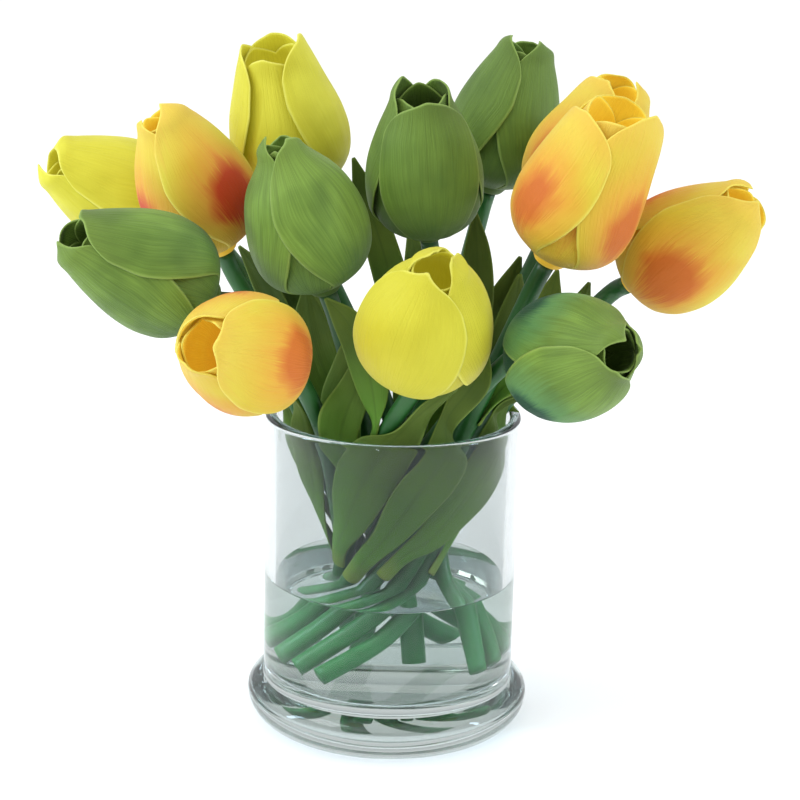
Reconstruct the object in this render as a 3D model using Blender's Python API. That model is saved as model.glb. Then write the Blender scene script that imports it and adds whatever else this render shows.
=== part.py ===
"""Cut tulips standing in a glass vase with a thick foot, about a third full of water.

All lengths are metres. +Z is up and the vase stands on z = 0 at the origin.
"""
import math

import bmesh
import bpy
import numpy as np
from mathutils import Vector
from mathutils.bvhtree import BVHTree

MM = 0.001

# Vase
BODY_R = 50.0       # outside of the wall
BORE_R = 45.5       # inside of the wall
RIM_Z = 127.0
CREASE_Z = 19.0     # where the wall meets the bulging foot
FLOOR_Z = 21.0      # inside floor
FOOT_R = 56.0       # widest part of the foot
FOOT_MID_Z = 11.6
ROUND = 34          # facets around the vase and the water
# Water
WATER_Z = 59.3
GAP = 0.3           # between parts that rest against each other
# Stems
STEM_R = 3.5
STEM_SIDES = 7
STEM_RINGS = 12
STEM_APART = 8.7    # centre to centre
WAIST_R, WAIST_Z = 19.0, 60.0
MOUTH_R, MOUTH_Z = 32.5, 121.0
END_R, END_Z = 36.5, 27.5
TWIST = 62.0        # degrees a stem turns from the mouth to the waist, and again to its end
CLEAR_AT = -82.0    # azimuth that the stem ends keep away from, so the water is clear in front
CLEAR_BY = 36.0     # most that an end turns away from it
CLEAR_REACH = 60.0  # degrees to either side over which that fades
# Petals and leaves
PETAL_T = 0.9
LEAF_T = 0.8
LEAF_ROWS, LEAF_COLS = 9, 4

# name: base of the head (mm), azimuth and elevation of its axis, length, widest
# diameter, diameter of the mouth, where its outermost petal stands round the axis in
# degrees from the side that faces the front of the bunch, place of its stem in the ring
HEADS = {
    "bloom_01_yellow": ((-87, 55, 187), (-159, 28), 62, 46, 16, 40, 4),
    "bloom_02_orange": ((-67, 8, 187), (-146, 63), 62, 45, 14, 45, 5),
    "bloom_03_yellow": ((-39, 35, 204), (-139, 76), 64, 47, 20, 60, 3),
    "bloom_04_green": ((-26, -22, 179), (-147, 69), 62, 46, 10, 40, None),
    "bloom_05_green": ((-67, -35, 178), (-155, 26), 62, 45, 16, 60, 6),
    "bloom_06_orange": ((-44, -60, 162), (-113, 18), 58, 46, 16, 0, 7),
    "bloom_07_yellow": ((8, -55, 158), (-79, 54), 58, 50, 20, -5, 8),
    "bloom_08_green": ((12, 0, 196), (-105, 73), 62, 47, 18, 10, None),
    "bloom_09_green": ((36, 56, 204), (-20, 76), 62, 45, 16, 55, 2),
    "bloom_10_orange": ((62, 22, 200), (-38, 63), 62, 45, 18, -40, 1),
    "bloom_11_orange": ((55, -36, 195), (-25, 64), 64, 47, 26, -35, 10),
    "bloom_12_orange": ((89, -5, 181), (-35, 38), 62, 46, 16, 20, 0),
    "bloom_13_green": ((49, -52, 162), (-57, 17), 58, 46, 16, 60, 9),
}
FRONT = np.array([0.0, -0.958, 0.287])
RING = 11
RING_START = -5.0   # azimuth of the first ring stem at the mouth
INNER = {"bloom_04_green": (-5.0, -1.5), "bloom_08_green": (5.0, 1.5)}

# name: stem it clasps, height of its foot, points its middle passes on the way to its
# tip (mm), widest width, azimuth that its outer face looks towards (degrees)
LEAVES = {
    "leaf_01": ("stem_07", 67,
                [(-18, -23, 84), (-13, -33, 102), (-6, -39, 119), (7, -47, 139), (23, -50, 151)], 25, -95),
    "leaf_02": ("stem_13", 63,
                [(0, -28, 87), (11, -35, 108), (22, -38, 129), (29, -42, 148), (33, -39, 167)], 25, -85),
    "leaf_03": ("stem_11", 66,
                [(15, -26, 83), (28, -24, 100), (37, -20, 115), (46, -24, 133), (56, -28, 144)], 18, -70),
    "leaf_04": ("stem_10", 64,
                [(28, -5, 90), (32, -2, 112), (36, -3, 132), (42, -8, 149), (48, -12, 161)], 16, -75),
    "leaf_05": ("stem_09", 70,
                [(34, 10, 96), (38, 11, 117), (41, 8, 143), (45, 2, 164), (47, -6, 184)], 17, -70),
    "leaf_06": ("stem_06", 64,
                [(-29, -2, 86), (-31, -14, 110), (-34, -24, 127), (-39, -34, 143)], 18, -118),
    "leaf_07": ("stem_05", 70,
                [(-29, 8, 88), (-38, 4, 108), (-41, 2, 124), (-52, 0, 141), (-62, 0, 151)], 18, -135),
    "leaf_08": ("stem_07", 94,
                [(-19, -31, 126), (-13, -32, 146), (-6, -32, 164), (0, -32, 175)], 13, -105),
    "leaf_09": ("stem_07", 122,
                [(-8, -39, 146), (-12, -39, 160), (-19, -38, 173), (-26, -40, 181)], 14, -95),
    "leaf_10": ("stem_04", 88,
                [(-16, -14, 112), (-20, -20, 130), (-16, -26, 148), (-9, -28, 167), (0, -28, 182)], 18, -95),
    "leaf_11": ("stem_04", 108,
                [(-18, 0, 128), (-27, -1, 142), (-32, -2, 159), (-35, 2, 176)], 18, -100),
    "leaf_12": ("stem_01", 118,
                [(-30, 24, 140), (-40, 27, 158), (-50, 28, 178), (-56, 28, 194)], 16, -110),
    "leaf_13": ("stem_02", 104,
                [(-38, 15, 136), (-48, 23, 162), (-56, 28, 176), (-63, 32, 184)], 13, -110),
    "leaf_14": ("stem_08", 120,
                [(6, 12, 148), (0, 18, 168), (-7, 22, 190), (-13, 24, 207), (-18, 24, 222)], 14, -90),
    "leaf_15": ("stem_08", 100,
                [(20, 5, 126), (27, 5, 150), (31, 11, 170), (31, 14, 189), (30, 16, 203)], 16, -85),
    "leaf_16": ("stem_09", 112,
                [(31, 28, 140), (38, 28, 155), (45, 28, 171), (49, 30, 183)], 15, -75),
    "leaf_17": ("stem_11", 130,
                [(49, -20, 152), (55, -19, 165), (58, -15, 176), (61, -10, 187)], 13, -80),
    "leaf_18": ("stem_12", 92,
                [(35, -16, 110), (43, -10, 125), (53, -4, 139), (65, -2, 147)], 13, -60),
    "leaf_19": ("stem_12", 132,
                [(58, 8, 150), (66, 12, 160), (72, 11, 169), (75, 9, 178)], 12, -70),
    "leaf_20": ("stem_03", 64,
                [(12, 29, 90), (9, 39, 116), (10, 52, 146), (9, 66, 168), (5, 74, 184)], 20, 90),
    "leaf_21": ("stem_01", 70,
                [(-14, 29, 90), (-20, 36, 118), (-25, 50, 143), (-31, 66, 164), (-36, 78, 178)], 20, 112),
    "leaf_22": ("stem_02", 64,
                [(-18, 26, 88), (-29, 28, 116), (-46, 32, 144), (-66, 36, 157), (-80, 38, 164)], 16, 155),
    "leaf_23": ("stem_09", 90,
                [(24, 34, 116), (28, 42, 140), (35, 56, 158), (36, 68, 174)], 15, 66),
}

COLOURS = {
    "yellow": (0.80, 0.72, 0.06, 1),
    "orange": (0.80, 0.36, 0.05, 1),
    "green": (0.18, 0.32, 0.07, 1),
}


def clear_scene():
    for obj in list(bpy.data.objects):
        bpy.data.objects.remove(obj, do_unlink=True)


def unit(v):
    v = np.asarray(v, float)
    return v / max(np.linalg.norm(v), 1e-9)


def direction(azimuth, elevation):
    a, e = math.radians(azimuth), math.radians(elevation)
    return np.array([math.cos(a) * math.cos(e), math.sin(a) * math.cos(e), math.sin(e)])


def smooth(t):
    t = np.clip(t, 0.0, 1.0)
    return t * t * (3 - 2 * t)


def material(name, colour, **sockets):
    mat = bpy.data.materials.new(name)
    mat.use_nodes = True
    shader = mat.node_tree.nodes["Principled BSDF"]
    shader.inputs["Base Color"].default_value = colour
    for key, value in sockets.items():
        shader.inputs[key.replace("_", " ")].default_value = value
    mat.diffuse_color = colour
    return mat


def make_object(name, bm, mat):
    bmesh.ops.recalc_face_normals(bm, faces=bm.faces)
    mesh = bpy.data.meshes.new(name)
    bm.to_mesh(mesh)
    bm.free()
    obj = bpy.data.objects.new(name, mesh)
    bpy.context.scene.collection.objects.link(obj)
    if mat:
        mesh.materials.append(mat)
    return obj


# ---------------------------------------------------------------- vase and water


def foot_profile():
    """Outside of the foot from the underside up to the crease, as (radius, height)."""
    mid, half, up = FOOT_R - 11.7, 11.7, 7.8
    points = [(mid + half * math.cos(a), FOOT_MID_Z * (1 + math.sin(a)))
              for a in np.radians([-90, -62, -38, -16, 0])]
    points += [(mid + half * math.cos(a), FOOT_MID_Z + up * math.sin(a))
               for a in np.radians([22, 42, 58])]
    return points


def vase_profile():
    outside = foot_profile()
    outside += [(BODY_R - 0.2, CREASE_Z + 0.6), (BODY_R - 0.25, CREASE_Z + 3)]
    outside += [(BODY_R, RIM_Z - 1.2), (BODY_R - 1.2, RIM_Z), (BORE_R + 1.2, RIM_Z)]
    inside = [(BORE_R, RIM_Z - 1.2), (BORE_R, FLOOR_Z + 2), (BORE_R - 2, FLOOR_Z)]
    return outside + inside


def spun(points, count):
    """A closed solid of revolution: the profile runs from the underside to the middle."""
    bm = bmesh.new()
    rings = []
    for radius, height in points:
        ring = [bm.verts.new((radius * MM * math.cos(a), radius * MM * math.sin(a), height * MM))
                for a in np.linspace(0, 2 * math.pi, count, endpoint=False)]
        rings.append(ring)
    for low, high in zip(rings, rings[1:]):
        for i in range(count):
            j = (i + 1) % count
            bm.faces.new((low[i], low[j], high[j], high[i]))
    bm.faces.new(rings[0])
    bm.faces.new(rings[-1])
    return bm


def make_vase(mat):
    return make_object("vase", spun(vase_profile(), ROUND), mat)


def make_water(stems, mat):
    wall = BORE_R - GAP
    profile = [(wall - 2, FLOOR_Z + GAP), (wall, FLOOR_Z + GAP + 2), (wall, WATER_Z)]
    water = make_object("water", spun(profile, ROUND), mat)
    holes = bpy.data.collections.new("stem_holes")
    bpy.context.scene.collection.children.link(holes)
    for line in stems.values():
        longer = line.copy()
        longer[0] += unit(line[0] - line[1]) * 0.4
        cutter = make_object("cutter", tube(longer, STEM_R + 0.4, STEM_SIDES), None)
        holes.objects.link(cutter)
        bpy.context.scene.collection.objects.unlink(cutter)
    join_or_cut(water, holes, "DIFFERENCE")
    return water


def join_or_cut(obj, collection, operation):
    mod = obj.modifiers.new("shape", "BOOLEAN")
    mod.operand_type = "COLLECTION"
    mod.collection = collection
    mod.operation = operation
    mod.solver = "MANIFOLD"
    graph = bpy.context.evaluated_depsgraph_get()
    mesh = bpy.data.meshes.new_from_object(obj.evaluated_get(graph))
    obj.modifiers.clear()
    obj.data = mesh
    for other in list(collection.objects):
        bpy.data.objects.remove(other, do_unlink=True)
    bpy.data.collections.remove(collection)


# ---------------------------------------------------------------- stems


def resampled(line, count):
    """The line with `count` points evenly spaced along it."""
    steps = np.linalg.norm(np.diff(line, axis=0), axis=1)
    at = np.concatenate([[0], np.cumsum(steps)])
    want = np.linspace(0, at[-1], count)
    return np.stack([np.interp(want, at, line[:, k]) for k in range(3)], 1)


def through(points, count):
    """A Catmull-Rom curve through the points, evenly spaced."""
    p = np.asarray(points, float)
    p = np.vstack([2 * p[0] - p[1], p, 2 * p[-1] - p[-2]])
    out = []
    for i in range(1, len(p) - 2):
        a, b, c, d = p[i - 1:i + 3]
        for t in np.linspace(0, 1, 24, endpoint=False):
            out.append(0.5 * (2 * b + (c - a) * t + (2 * a - 5 * b + 4 * c - d) * t * t
                              + (3 * b - a - 3 * c + d) * t ** 3))
    out.append(p[-2])
    return resampled(np.array(out), count)


def polar(radius, degrees, height):
    a = math.radians(degrees)
    return np.array([radius * math.cos(a), radius * math.sin(a), height])


def aside(angle):
    """The azimuth of a stem's end, turned away from the clear front of the water."""
    off = (angle - CLEAR_AT + 180) % 360 - 180
    return CLEAR_AT + off + math.copysign(CLEAR_BY * math.exp(-(off / CLEAR_REACH) ** 2), off)


def stem_guide(name):
    """Where a stem would run before its neighbours push it: from its end up to its head."""
    base, (azimuth, elevation) = np.array(HEADS[name][0], float), HEADS[name][1]
    axis = direction(azimuth, elevation)
    place = HEADS[name][6]
    top = base - axis * 0.4
    neck = base - axis * 16
    if place is None:
        x, y = INNER[name]
        low = np.array([x * 1.6, -y * 2.0, END_Z])
        mouth = np.array([x * 2.0, y + base[1] * 0.4, MOUTH_Z])
        return [low, np.array([x, y, WAIST_Z]), mouth, neck, top]
    angle = RING_START + place * 360 / RING
    return [polar(END_R, aside(angle - 2 * TWIST), END_Z), polar(WAIST_R, angle - TWIST, WAIST_Z),
            polar(MOUTH_R, angle, MOUTH_Z), neck, top]


def head_balls():
    """Each head as a row of balls, for keeping stems and leaves out of it."""
    balls = []
    for name, (base, angles, length, width, *_) in HEADS.items():
        axis = direction(*angles)
        for share, size in ((0.18, 0.34), (0.36, 0.5), (0.56, 0.49), (0.78, 0.38)):
            balls.append((name, np.array(base) + axis * length * share, width * size))
    return balls


def keep_in_vase(points, margin, lip):
    """Pushes points inside the bore, from the floor to `lip` above the rim."""
    radius = np.hypot(points[..., 0], points[..., 1])
    limit = BORE_R - margin + np.maximum(points[..., 2] - RIM_Z - lip, 0) * 2.5
    scale = np.minimum(1, limit / np.maximum(radius, 1e-6))
    points[..., 0] *= scale
    points[..., 1] *= scale
    return points


def lay_stems():
    """Every stem's centre line, pushed apart until no two come closer than STEM_APART."""
    names = list(HEADS)
    lines = np.array([through(stem_guide(n), 56) for n in names])
    count, many = lines.shape[:2]
    owner = np.repeat(np.arange(count), many)
    other = owner[:, None] != owner[None, :]
    fixed = lines[:, -5:].copy()
    balls = head_balls()
    for _ in range(160):
        flat = lines.reshape(-1, 3)
        gap = flat[:, None] - flat[None]
        dist = np.linalg.norm(gap, axis=2) + 1e-9
        near = other & (dist < STEM_APART)
        push = np.where(near, (STEM_APART - dist) * 0.5 / dist, 0)[..., None] * gap
        lines = (flat + push.sum(1) * 0.5).reshape(lines.shape)
        for name, centre, radius in balls:
            away = lines - centre
            far = np.linalg.norm(away, axis=2)
            own = np.array([n == name for n in names])[:, None]
            inside = (far < radius + STEM_R + 2) & ~own
            lines[inside] += away[inside] / far[inside][:, None] * 0.6
        middle = (lines[:, :-2] + lines[:, 2:]) / 2
        lines[:, 1:-1] += (middle - lines[:, 1:-1]) * 0.35
        low = lines[..., 2] < RIM_Z
        kept = keep_in_vase(lines.copy(), STEM_R + 2.6, 0)
        lines = np.where(low[..., None], kept, lines)
        lines[:, 0, 2] = END_Z
        lines[..., 2] = np.maximum(lines[..., 2], END_Z)
        lines[:, -5:] = fixed
    return {n.replace("bloom", "stem").rsplit("_", 1)[0]: resampled(line, STEM_RINGS)
            for n, line in zip(names, lines)}


def frames(line):
    """Tangents and a pair of normals that turn as little as possible along the line."""
    tangent = np.gradient(line, axis=0)
    tangent /= np.linalg.norm(tangent, axis=1)[:, None]
    normal = unit(np.cross(tangent[0], [0.3, 0.9, 0.2]))
    normals = []
    for t in tangent:
        normal = unit(normal - t * (normal @ t))
        normals.append(normal)
    normals = np.array(normals)
    return tangent, normals, np.cross(tangent, normals)


def tube(line, radius, sides):
    _, u, v = frames(line)
    bm = bmesh.new()
    rings = []
    for p, a, b in zip(line, u, v):
        ring = []
        for angle in np.linspace(0, 2 * math.pi, sides, endpoint=False):
            q = p + radius * (a * math.cos(angle) + b * math.sin(angle))
            ring.append(bm.verts.new(q * MM))
        rings.append(ring)
    for low, high in zip(rings, rings[1:]):
        for i in range(sides):
            j = (i + 1) % sides
            bm.faces.new((low[i], low[j], high[j], high[i]))
    bm.faces.new(rings[0])
    bm.faces.new(rings[-1])
    return bm


# ---------------------------------------------------------------- blooms


def petal_shell(length, widest, mouth, inner):
    """(height, radius, half width) of a petal's middle surface, from its root to its tip."""
    at = np.array([0.075, 0.22, 0.44, 0.69, 0.90, 1.0])
    half_width = widest / 2
    radius = np.array([0.36, 0.84, 1.0, 0.90, 0.0, 0.0]) * half_width
    radius[4] = 0.50 * mouth + 0.17 * half_width
    radius[5] = 0.50 * mouth
    radius[3] = 0.5 * (radius[3] + max(radius[4] * 1.15, 0.84 * half_width))
    spread = np.array([0.20, 0.58, 0.86, 0.86, 0.62, 0.20]) * half_width
    if inner:
        radius = radius - np.array([0.8, 3.0, 3.2, 3.0, 2.2, 1.7])
        spread = spread * 0.96
        keep = [0, 1, 2, 3, 5]
        at, radius, spread = at[keep], radius[keep], spread[keep]
    return at * length, radius, spread


def facing(axis):
    """Across a head's axis: towards the front of the bunch, and towards its right."""
    front = unit(FRONT - axis * (FRONT @ axis))
    return front, np.cross(axis, front)


def petal(head, number, count=4):
    """One petal as a closed blade, its root sunk in the bowl at the bottom of the head."""
    base, angles, length, widest, mouth, turn = head[:6]
    axis = direction(*angles)
    front, right = facing(axis)
    inner = number % 2 == 1
    share = (0.95 if inner else 1.0) - 0.02 * (number % 3)
    heights, radii, halves = petal_shell(length * share, widest, mouth, inner)
    middle = math.radians(turn + number * 60)
    rows = []
    for h, r, w in zip(heights, radii, halves):
        row = []
        spread = min(w / max(r, 1.0), 0.96)
        for s in np.linspace(-1, 1, count):
            a = middle + s * spread
            rr = r - 0.4 * s * s
            up = h - s * s * 0.06 * h * (h / length) ** 2
            row.append(np.array(base) + axis * up + rr * (front * math.cos(a) + right * math.sin(a)))
        rows.append(row)
    return blade(np.array(rows), PETAL_T)


def blade(grid, thick):
    """A closed sheet `thick` across, made from a grid of points on its middle surface."""
    du = np.gradient(grid, axis=0)
    dv = np.gradient(grid, axis=1)
    normal = np.cross(du, dv)
    normal /= np.maximum(np.linalg.norm(normal, axis=2), 1e-9)[..., None]
    bm = bmesh.new()
    sheets = []
    for sign in (0.5, -0.5):
        points = (grid + normal * thick * sign) * MM
        sheets.append([[bm.verts.new(p) for p in row] for row in points])
    top, under = sheets
    rows, cols = grid.shape[:2]
    for i in range(rows - 1):
        for j in range(cols - 1):
            for sheet in sheets:
                a, b, c, d = sheet[i][j], sheet[i + 1][j], sheet[i + 1][j + 1], sheet[i][j + 1]
                bm.faces.new((a, b, c))
                bm.faces.new((a, c, d))
    edge = [(i, 0) for i in range(rows)] + [(rows - 1, j) for j in range(1, cols)]
    edge += [(i, cols - 1) for i in range(rows - 2, -1, -1)] + [(0, j) for j in range(cols - 2, 0, -1)]
    for (i, j), (k, m) in zip(edge, edge[1:] + edge[:1]):
        bm.faces.new((top[i][j], top[k][m], under[k][m], under[i][j]))
    return bm


def bowl(head):
    """The solid bowl at the bottom of a head that its petals grow from, flat underneath."""
    base, angles, _, widest = head[:4]
    axis = direction(*angles)
    line = np.array([np.array(base) + axis * h for h in (0.0, 2.4, 6.0, 7.6)])
    _, u, v = frames(line)
    bm = bmesh.new()
    rings = []
    for p, a, b, r in zip(line, u, v, (4.2, 7.6, 0.25 * widest, 0.19 * widest)):
        rings.append([bm.verts.new((p + r * (a * math.cos(t) + b * math.sin(t))) * MM)
                      for t in np.linspace(0, 2 * math.pi, 8, endpoint=False)])
    for low, high in zip(rings, rings[1:]):
        for i in range(8):
            j = (i + 1) % 8
            bm.faces.new((low[i], low[j], high[j], high[i]))
    bm.faces.new(rings[0])
    bm.faces.new(rings[-1])
    return bm


def make_bloom(name, mats):
    head = HEADS[name]
    bloom = make_object(name, bowl(head), mats[name.split("_")[2]])
    petals = bpy.data.collections.new("petals")
    bpy.context.scene.collection.children.link(petals)
    for number in range(6):
        one = make_object("petal", petal(head, number), None)
        petals.objects.link(one)
        bpy.context.scene.collection.objects.unlink(one)
    join_or_cut(bloom, petals, "UNION")
    return bloom


# ---------------------------------------------------------------- leaves


def at_height(line, z):
    """The point of a stem at a height, and which way the stem runs there."""
    k = int(np.clip(np.searchsorted(line[:, 2], z), 1, len(line) - 1))
    low, high = line[k - 1], line[k]
    return low + (high - low) * (z - low[2]) / (high[2] - low[2]), unit(high - low)


def leaf_line(spec, stems):
    """Middle line of a leaf from its clasp on the stem to its tip, with its first facing."""
    host, foot, way = spec[:3]
    line = stems[host]
    start, run = at_height(line, foot)
    later, _ = at_height(line, foot + 10)
    toward = np.array(way[0]) - later
    out = unit([start[0], start[1], 0.0]) * (1.0 if foot < 80 else 0.2) + unit([toward[0], toward[1], 0])
    out = unit(out - run * (out @ run))
    reach = STEM_R + GAP + LEAF_T / 2 + 0.35
    points = [start + out * reach, later + out * (reach + 1.5)] + [np.array(p, float) for p in way]
    length = np.linalg.norm(np.diff(np.array(points), axis=0), axis=1).sum()
    return through(points, LEAF_ROWS if length > 85 else LEAF_ROWS - 2), out, reach


def leaf_grid(spec, stems):
    """Points on the middle surface of a leaf before it slides clear, and its outward normals."""
    line, out, reach = leaf_line(spec, stems)
    width, aim = spec[3], direction(spec[4], 8)
    aim = aim if aim @ out > 0 else -aim
    tangent = np.gradient(line, axis=0)
    grid, faces = [], []
    for k, (p, run) in enumerate(zip(line, tangent)):
        t = k / (len(line) - 1)
        run = unit(run)
        face = out * (1 - smooth(t / 0.5)) + aim * smooth(t / 0.5)
        face = unit(face - run * (face @ run))
        side = np.cross(run, face)
        wide = 8.6 + (width - 8.6) * smooth((t - 0.07) / 0.45)
        wide *= max(1 - max((t - 0.45) / 0.55, 0) ** 2.4, 0.02) ** 0.6
        bend = reach + (26 - reach) * smooth(t / 0.6)
        arcs = np.linspace(-1, 1, LEAF_COLS) * wide / 2 / bend
        grid.append([p + bend * (math.cos(a) - 1) * face + bend * math.sin(a) * side for a in arcs])
        faces.append([face] * LEAF_COLS)
    return np.array(grid), np.array(faces)


def blurred(move):
    """The moves shared with their neighbours along and across the leaf, so that it stays smooth."""
    wide = np.pad(move, ((1, 1), (1, 1), (0, 0)), mode="edge")
    rows, cols = move.shape[:2]
    total = sum(wide[i:i + rows, j:j + cols] for i in range(3) for j in range(3))
    return 0.5 * move + 0.5 * total / 9


def nearest_on_line(grid, line):
    """From the nearest point of a stem to each point of a leaf."""
    a, b = line[:-1], line[1:]
    span = b - a
    share = ((grid[..., None, :] - a) * span).sum(-1) / (span * span).sum(-1)
    spots = a + np.clip(share, 0, 1)[..., None] * span
    away = grid[..., None, :] - spots
    best = (away ** 2).sum(-1).argmin(-1)
    return np.take_along_axis(away, best[..., None, None], -2)[..., 0, :]


def off_own_stem(grid, line, out):
    """Moves that keep each row of a leaf outside the stem it clasps."""
    away = nearest_on_line(grid, line)
    move = np.zeros_like(grid)
    toward = out
    for i in range(len(grid)):
        toward = unit(toward * 0.8 + unit(away[i].mean(0)))
        off = away[i] @ toward
        lateral = np.sqrt(np.maximum((away[i] ** 2).sum(1) - off ** 2, 0))
        spare = 0.75 if i == 1 else 1.3
        need = (STEM_R + LEAF_T / 2 + spare) * np.clip((8.0 - lateral) / 3.0, 0, 1)
        short = np.where(need > 0, np.maximum(need - off, 0), 0)
        move[i] = toward * short[:, None] if i > 0 else 0
    return move


def past_stem(grid, faces, line):
    """Moves that lay a leaf over a stem, all of it on the side where most of it already is."""
    away = nearest_on_line(grid, line)
    off = (away * faces).sum(-1)
    dist = np.linalg.norm(away, axis=-1)
    near = dist < 11
    if not near.any():
        return np.zeros_like(grid)
    side = 1.0 if off[near].sum() > 0 else -1.0
    lateral = np.sqrt(np.maximum(dist ** 2 - off ** 2, 0))
    need = (STEM_R + LEAF_T / 2 + 0.8) * np.clip((9.5 - lateral) / 4.0, 0, 1)
    short = np.where(near & (need > 0), np.maximum(need - side * off, 0), 0)
    return faces * (side * short)[..., None]


def past_leaf(grid, tree):
    """Moves that keep a leaf on one side of another leaf that is already in place."""
    found = [tree.find_nearest(Vector(p), 9.0) for p in grid.reshape(-1, 3)]
    offs = []
    for p, (spot, normal, _, _) in zip(grid.reshape(-1, 3), found):
        offs.append(0.0 if spot is None else float((Vector(p) - spot).dot(normal)))
    side = 1.0 if sum(offs) > 0 else -1.0
    move = np.zeros((len(found), 3))
    need = LEAF_T + 1.0
    for k, (spot, normal, _, dist) in enumerate(found):
        if spot is None:
            continue
        lateral = math.sqrt(max(dist * dist - offs[k] ** 2, 0))
        short = need * min(max((5.0 - lateral) / 3.0, 0), 1) - side * offs[k]
        if lateral < 5.0 and short > 0:
            move[k] = np.array(normal) * side * short
    return move.reshape(grid.shape)


def settle(grid, faces, host, out, stems, trees, balls):
    """Slides a leaf clear of stems, heads, glass and the leaves already in place."""
    lip = 0.75 * np.linalg.norm(np.diff(grid[:, 1], axis=0), axis=1).mean()
    for _ in range(50):
        move = off_own_stem(grid, stems[host], out)
        for name, line in stems.items():
            if name != host:
                move = move + past_stem(grid, faces, line)
        for tree in trees:
            move = move + past_leaf(grid, tree)
        for _, centre, radius in balls:
            away = grid - centre
            far = np.linalg.norm(away, axis=2)[..., None]
            move = move + np.where(far < radius + 1.5, away / far * (radius + 1.5 - far), 0)
        move[0] = 0
        grid = grid + blurred(np.clip(move, -2, 2)) * 0.8
        kept = keep_in_vase(grid.copy(), LEAF_T / 2 + 0.9, lip)
        grid[1:] = kept[1:]
        grid[..., 2] = np.maximum(grid[..., 2], WATER_Z + 1.4)
    return grid


def sheet_tree(grid):
    """The middle surface of a leaf, for finding how near another leaf comes."""
    rows, cols = grid.shape[:2]
    quads = [(i * cols + j, (i + 1) * cols + j, (i + 1) * cols + j + 1, i * cols + j + 1)
             for i in range(rows - 1) for j in range(cols - 1)]
    return BVHTree.FromPolygons([Vector(p) for p in grid.reshape(-1, 3)], quads)


def make_leaves(stems, mat):
    trees, balls = [], head_balls()
    for name, spec in LEAVES.items():
        grid, faces = leaf_grid(spec, stems)
        grid = settle(grid, faces, spec[0], faces[0, 0], stems, trees, balls)
        trees.append(sheet_tree(grid))
        make_object(name, blade(grid, LEAF_T), mat)


def main():
    clear_scene()
    clear = {"Transmission_Weight": 1.0}
    glass = material("clear_glass", (0.86, 0.93, 0.93, 1), Roughness=0.03, IOR=1.5, **clear)
    liquid = material("water", (0.90, 0.96, 0.96, 1), Roughness=0.0, IOR=1.33, **clear)
    green = material("stem_green", (0.05, 0.20, 0.06, 1), Roughness=0.5)
    leaf = material("leaf_green", (0.12, 0.18, 0.04, 1), Roughness=0.6)
    petals = {k: material("petal_" + k, c, Roughness=0.55) for k, c in COLOURS.items()}
    stems = lay_stems()
    make_vase(glass)
    make_water(stems, liquid)
    for name, line in stems.items():
        make_object(name, tube(line, STEM_R, STEM_SIDES), green)
    for name in HEADS:
        make_bloom(name, petals)
    make_leaves(stems, leaf)


main()
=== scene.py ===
# %% [markdown]
# # Cut tulips in a glass vase
#
# The bunch has thirteen soft foam tulips on wired stems, broad strap leaves, and a clear
# glass cylinder with a heavy bulging foot, about a third full of water. The solid model
# gives every piece its place. This lesson dresses it: finer petals and leaves, rounded
# stems, real glass and water, and a finish for each.
#
# Everything is in metres in the model's own frame, but the tables below are in
# millimetres, because that is how a maker would measure a flower.

import math

import bmesh
import bpy
import numpy as np
from mathutils import Matrix, Vector
from mathutils.bvhtree import BVHTree


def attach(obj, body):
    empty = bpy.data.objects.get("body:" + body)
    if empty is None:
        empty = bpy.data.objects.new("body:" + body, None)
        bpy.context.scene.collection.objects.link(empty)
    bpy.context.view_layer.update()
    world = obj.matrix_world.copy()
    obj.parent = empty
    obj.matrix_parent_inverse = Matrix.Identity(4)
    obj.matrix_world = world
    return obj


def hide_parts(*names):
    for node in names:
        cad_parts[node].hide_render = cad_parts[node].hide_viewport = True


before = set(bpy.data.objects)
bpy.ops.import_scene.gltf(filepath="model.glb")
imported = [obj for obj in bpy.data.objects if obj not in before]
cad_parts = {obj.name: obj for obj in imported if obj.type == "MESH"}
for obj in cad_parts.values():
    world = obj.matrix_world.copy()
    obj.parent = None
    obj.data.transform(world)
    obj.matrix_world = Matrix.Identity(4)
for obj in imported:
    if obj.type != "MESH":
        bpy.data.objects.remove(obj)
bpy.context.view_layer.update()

MM = 0.001

# %% [markdown]
# ## What stands where
#
# A head is a base point, an axis and a few sizes. The same few numbers then drive the
# stems, because a stem has to end in its head.

# %% Heads
# base of the head, azimuth and elevation of its axis, length, widest diameter, diameter
# of the mouth, place of its stem in the ring
HEADS = {
    "bloom_01_yellow": ((-87, 55, 187), (-159, 28), 62, 46, 16, 4),
    "bloom_02_orange": ((-67, 8, 187), (-146, 63), 62, 45, 14, 5),
    "bloom_03_yellow": ((-39, 35, 204), (-139, 76), 64, 47, 20, 3),
    "bloom_04_green": ((-26, -22, 179), (-147, 69), 62, 46, 10, None),
    "bloom_05_green": ((-67, -35, 178), (-155, 26), 62, 45, 16, 6),
    "bloom_06_orange": ((-44, -60, 162), (-113, 18), 58, 46, 15, 7),
    "bloom_07_yellow": ((8, -55, 158), (-79, 54), 58, 50, 15, 8),
    "bloom_08_green": ((12, 0, 196), (-105, 73), 62, 47, 17, None),
    "bloom_09_green": ((36, 56, 204), (-20, 76), 62, 45, 16, 2),
    "bloom_10_orange": ((62, 22, 200), (-38, 63), 62, 45, 18, 1),
    "bloom_11_orange": ((55, -36, 195), (-25, 64), 64, 47, 26, 10),
    "bloom_12_orange": ((89, -5, 181), (-35, 38), 62, 46, 16, 0),
    "bloom_13_green": ((49, -52, 162), (-57, 17), 58, 46, 13, 9),
}
print(len(HEADS), "heads")

# %% [markdown]
# The leaves clasp a stem near the water and climb out over the rim. Each is a row of
# points that its middle passes, a width, and the direction its outer face looks in.

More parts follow.
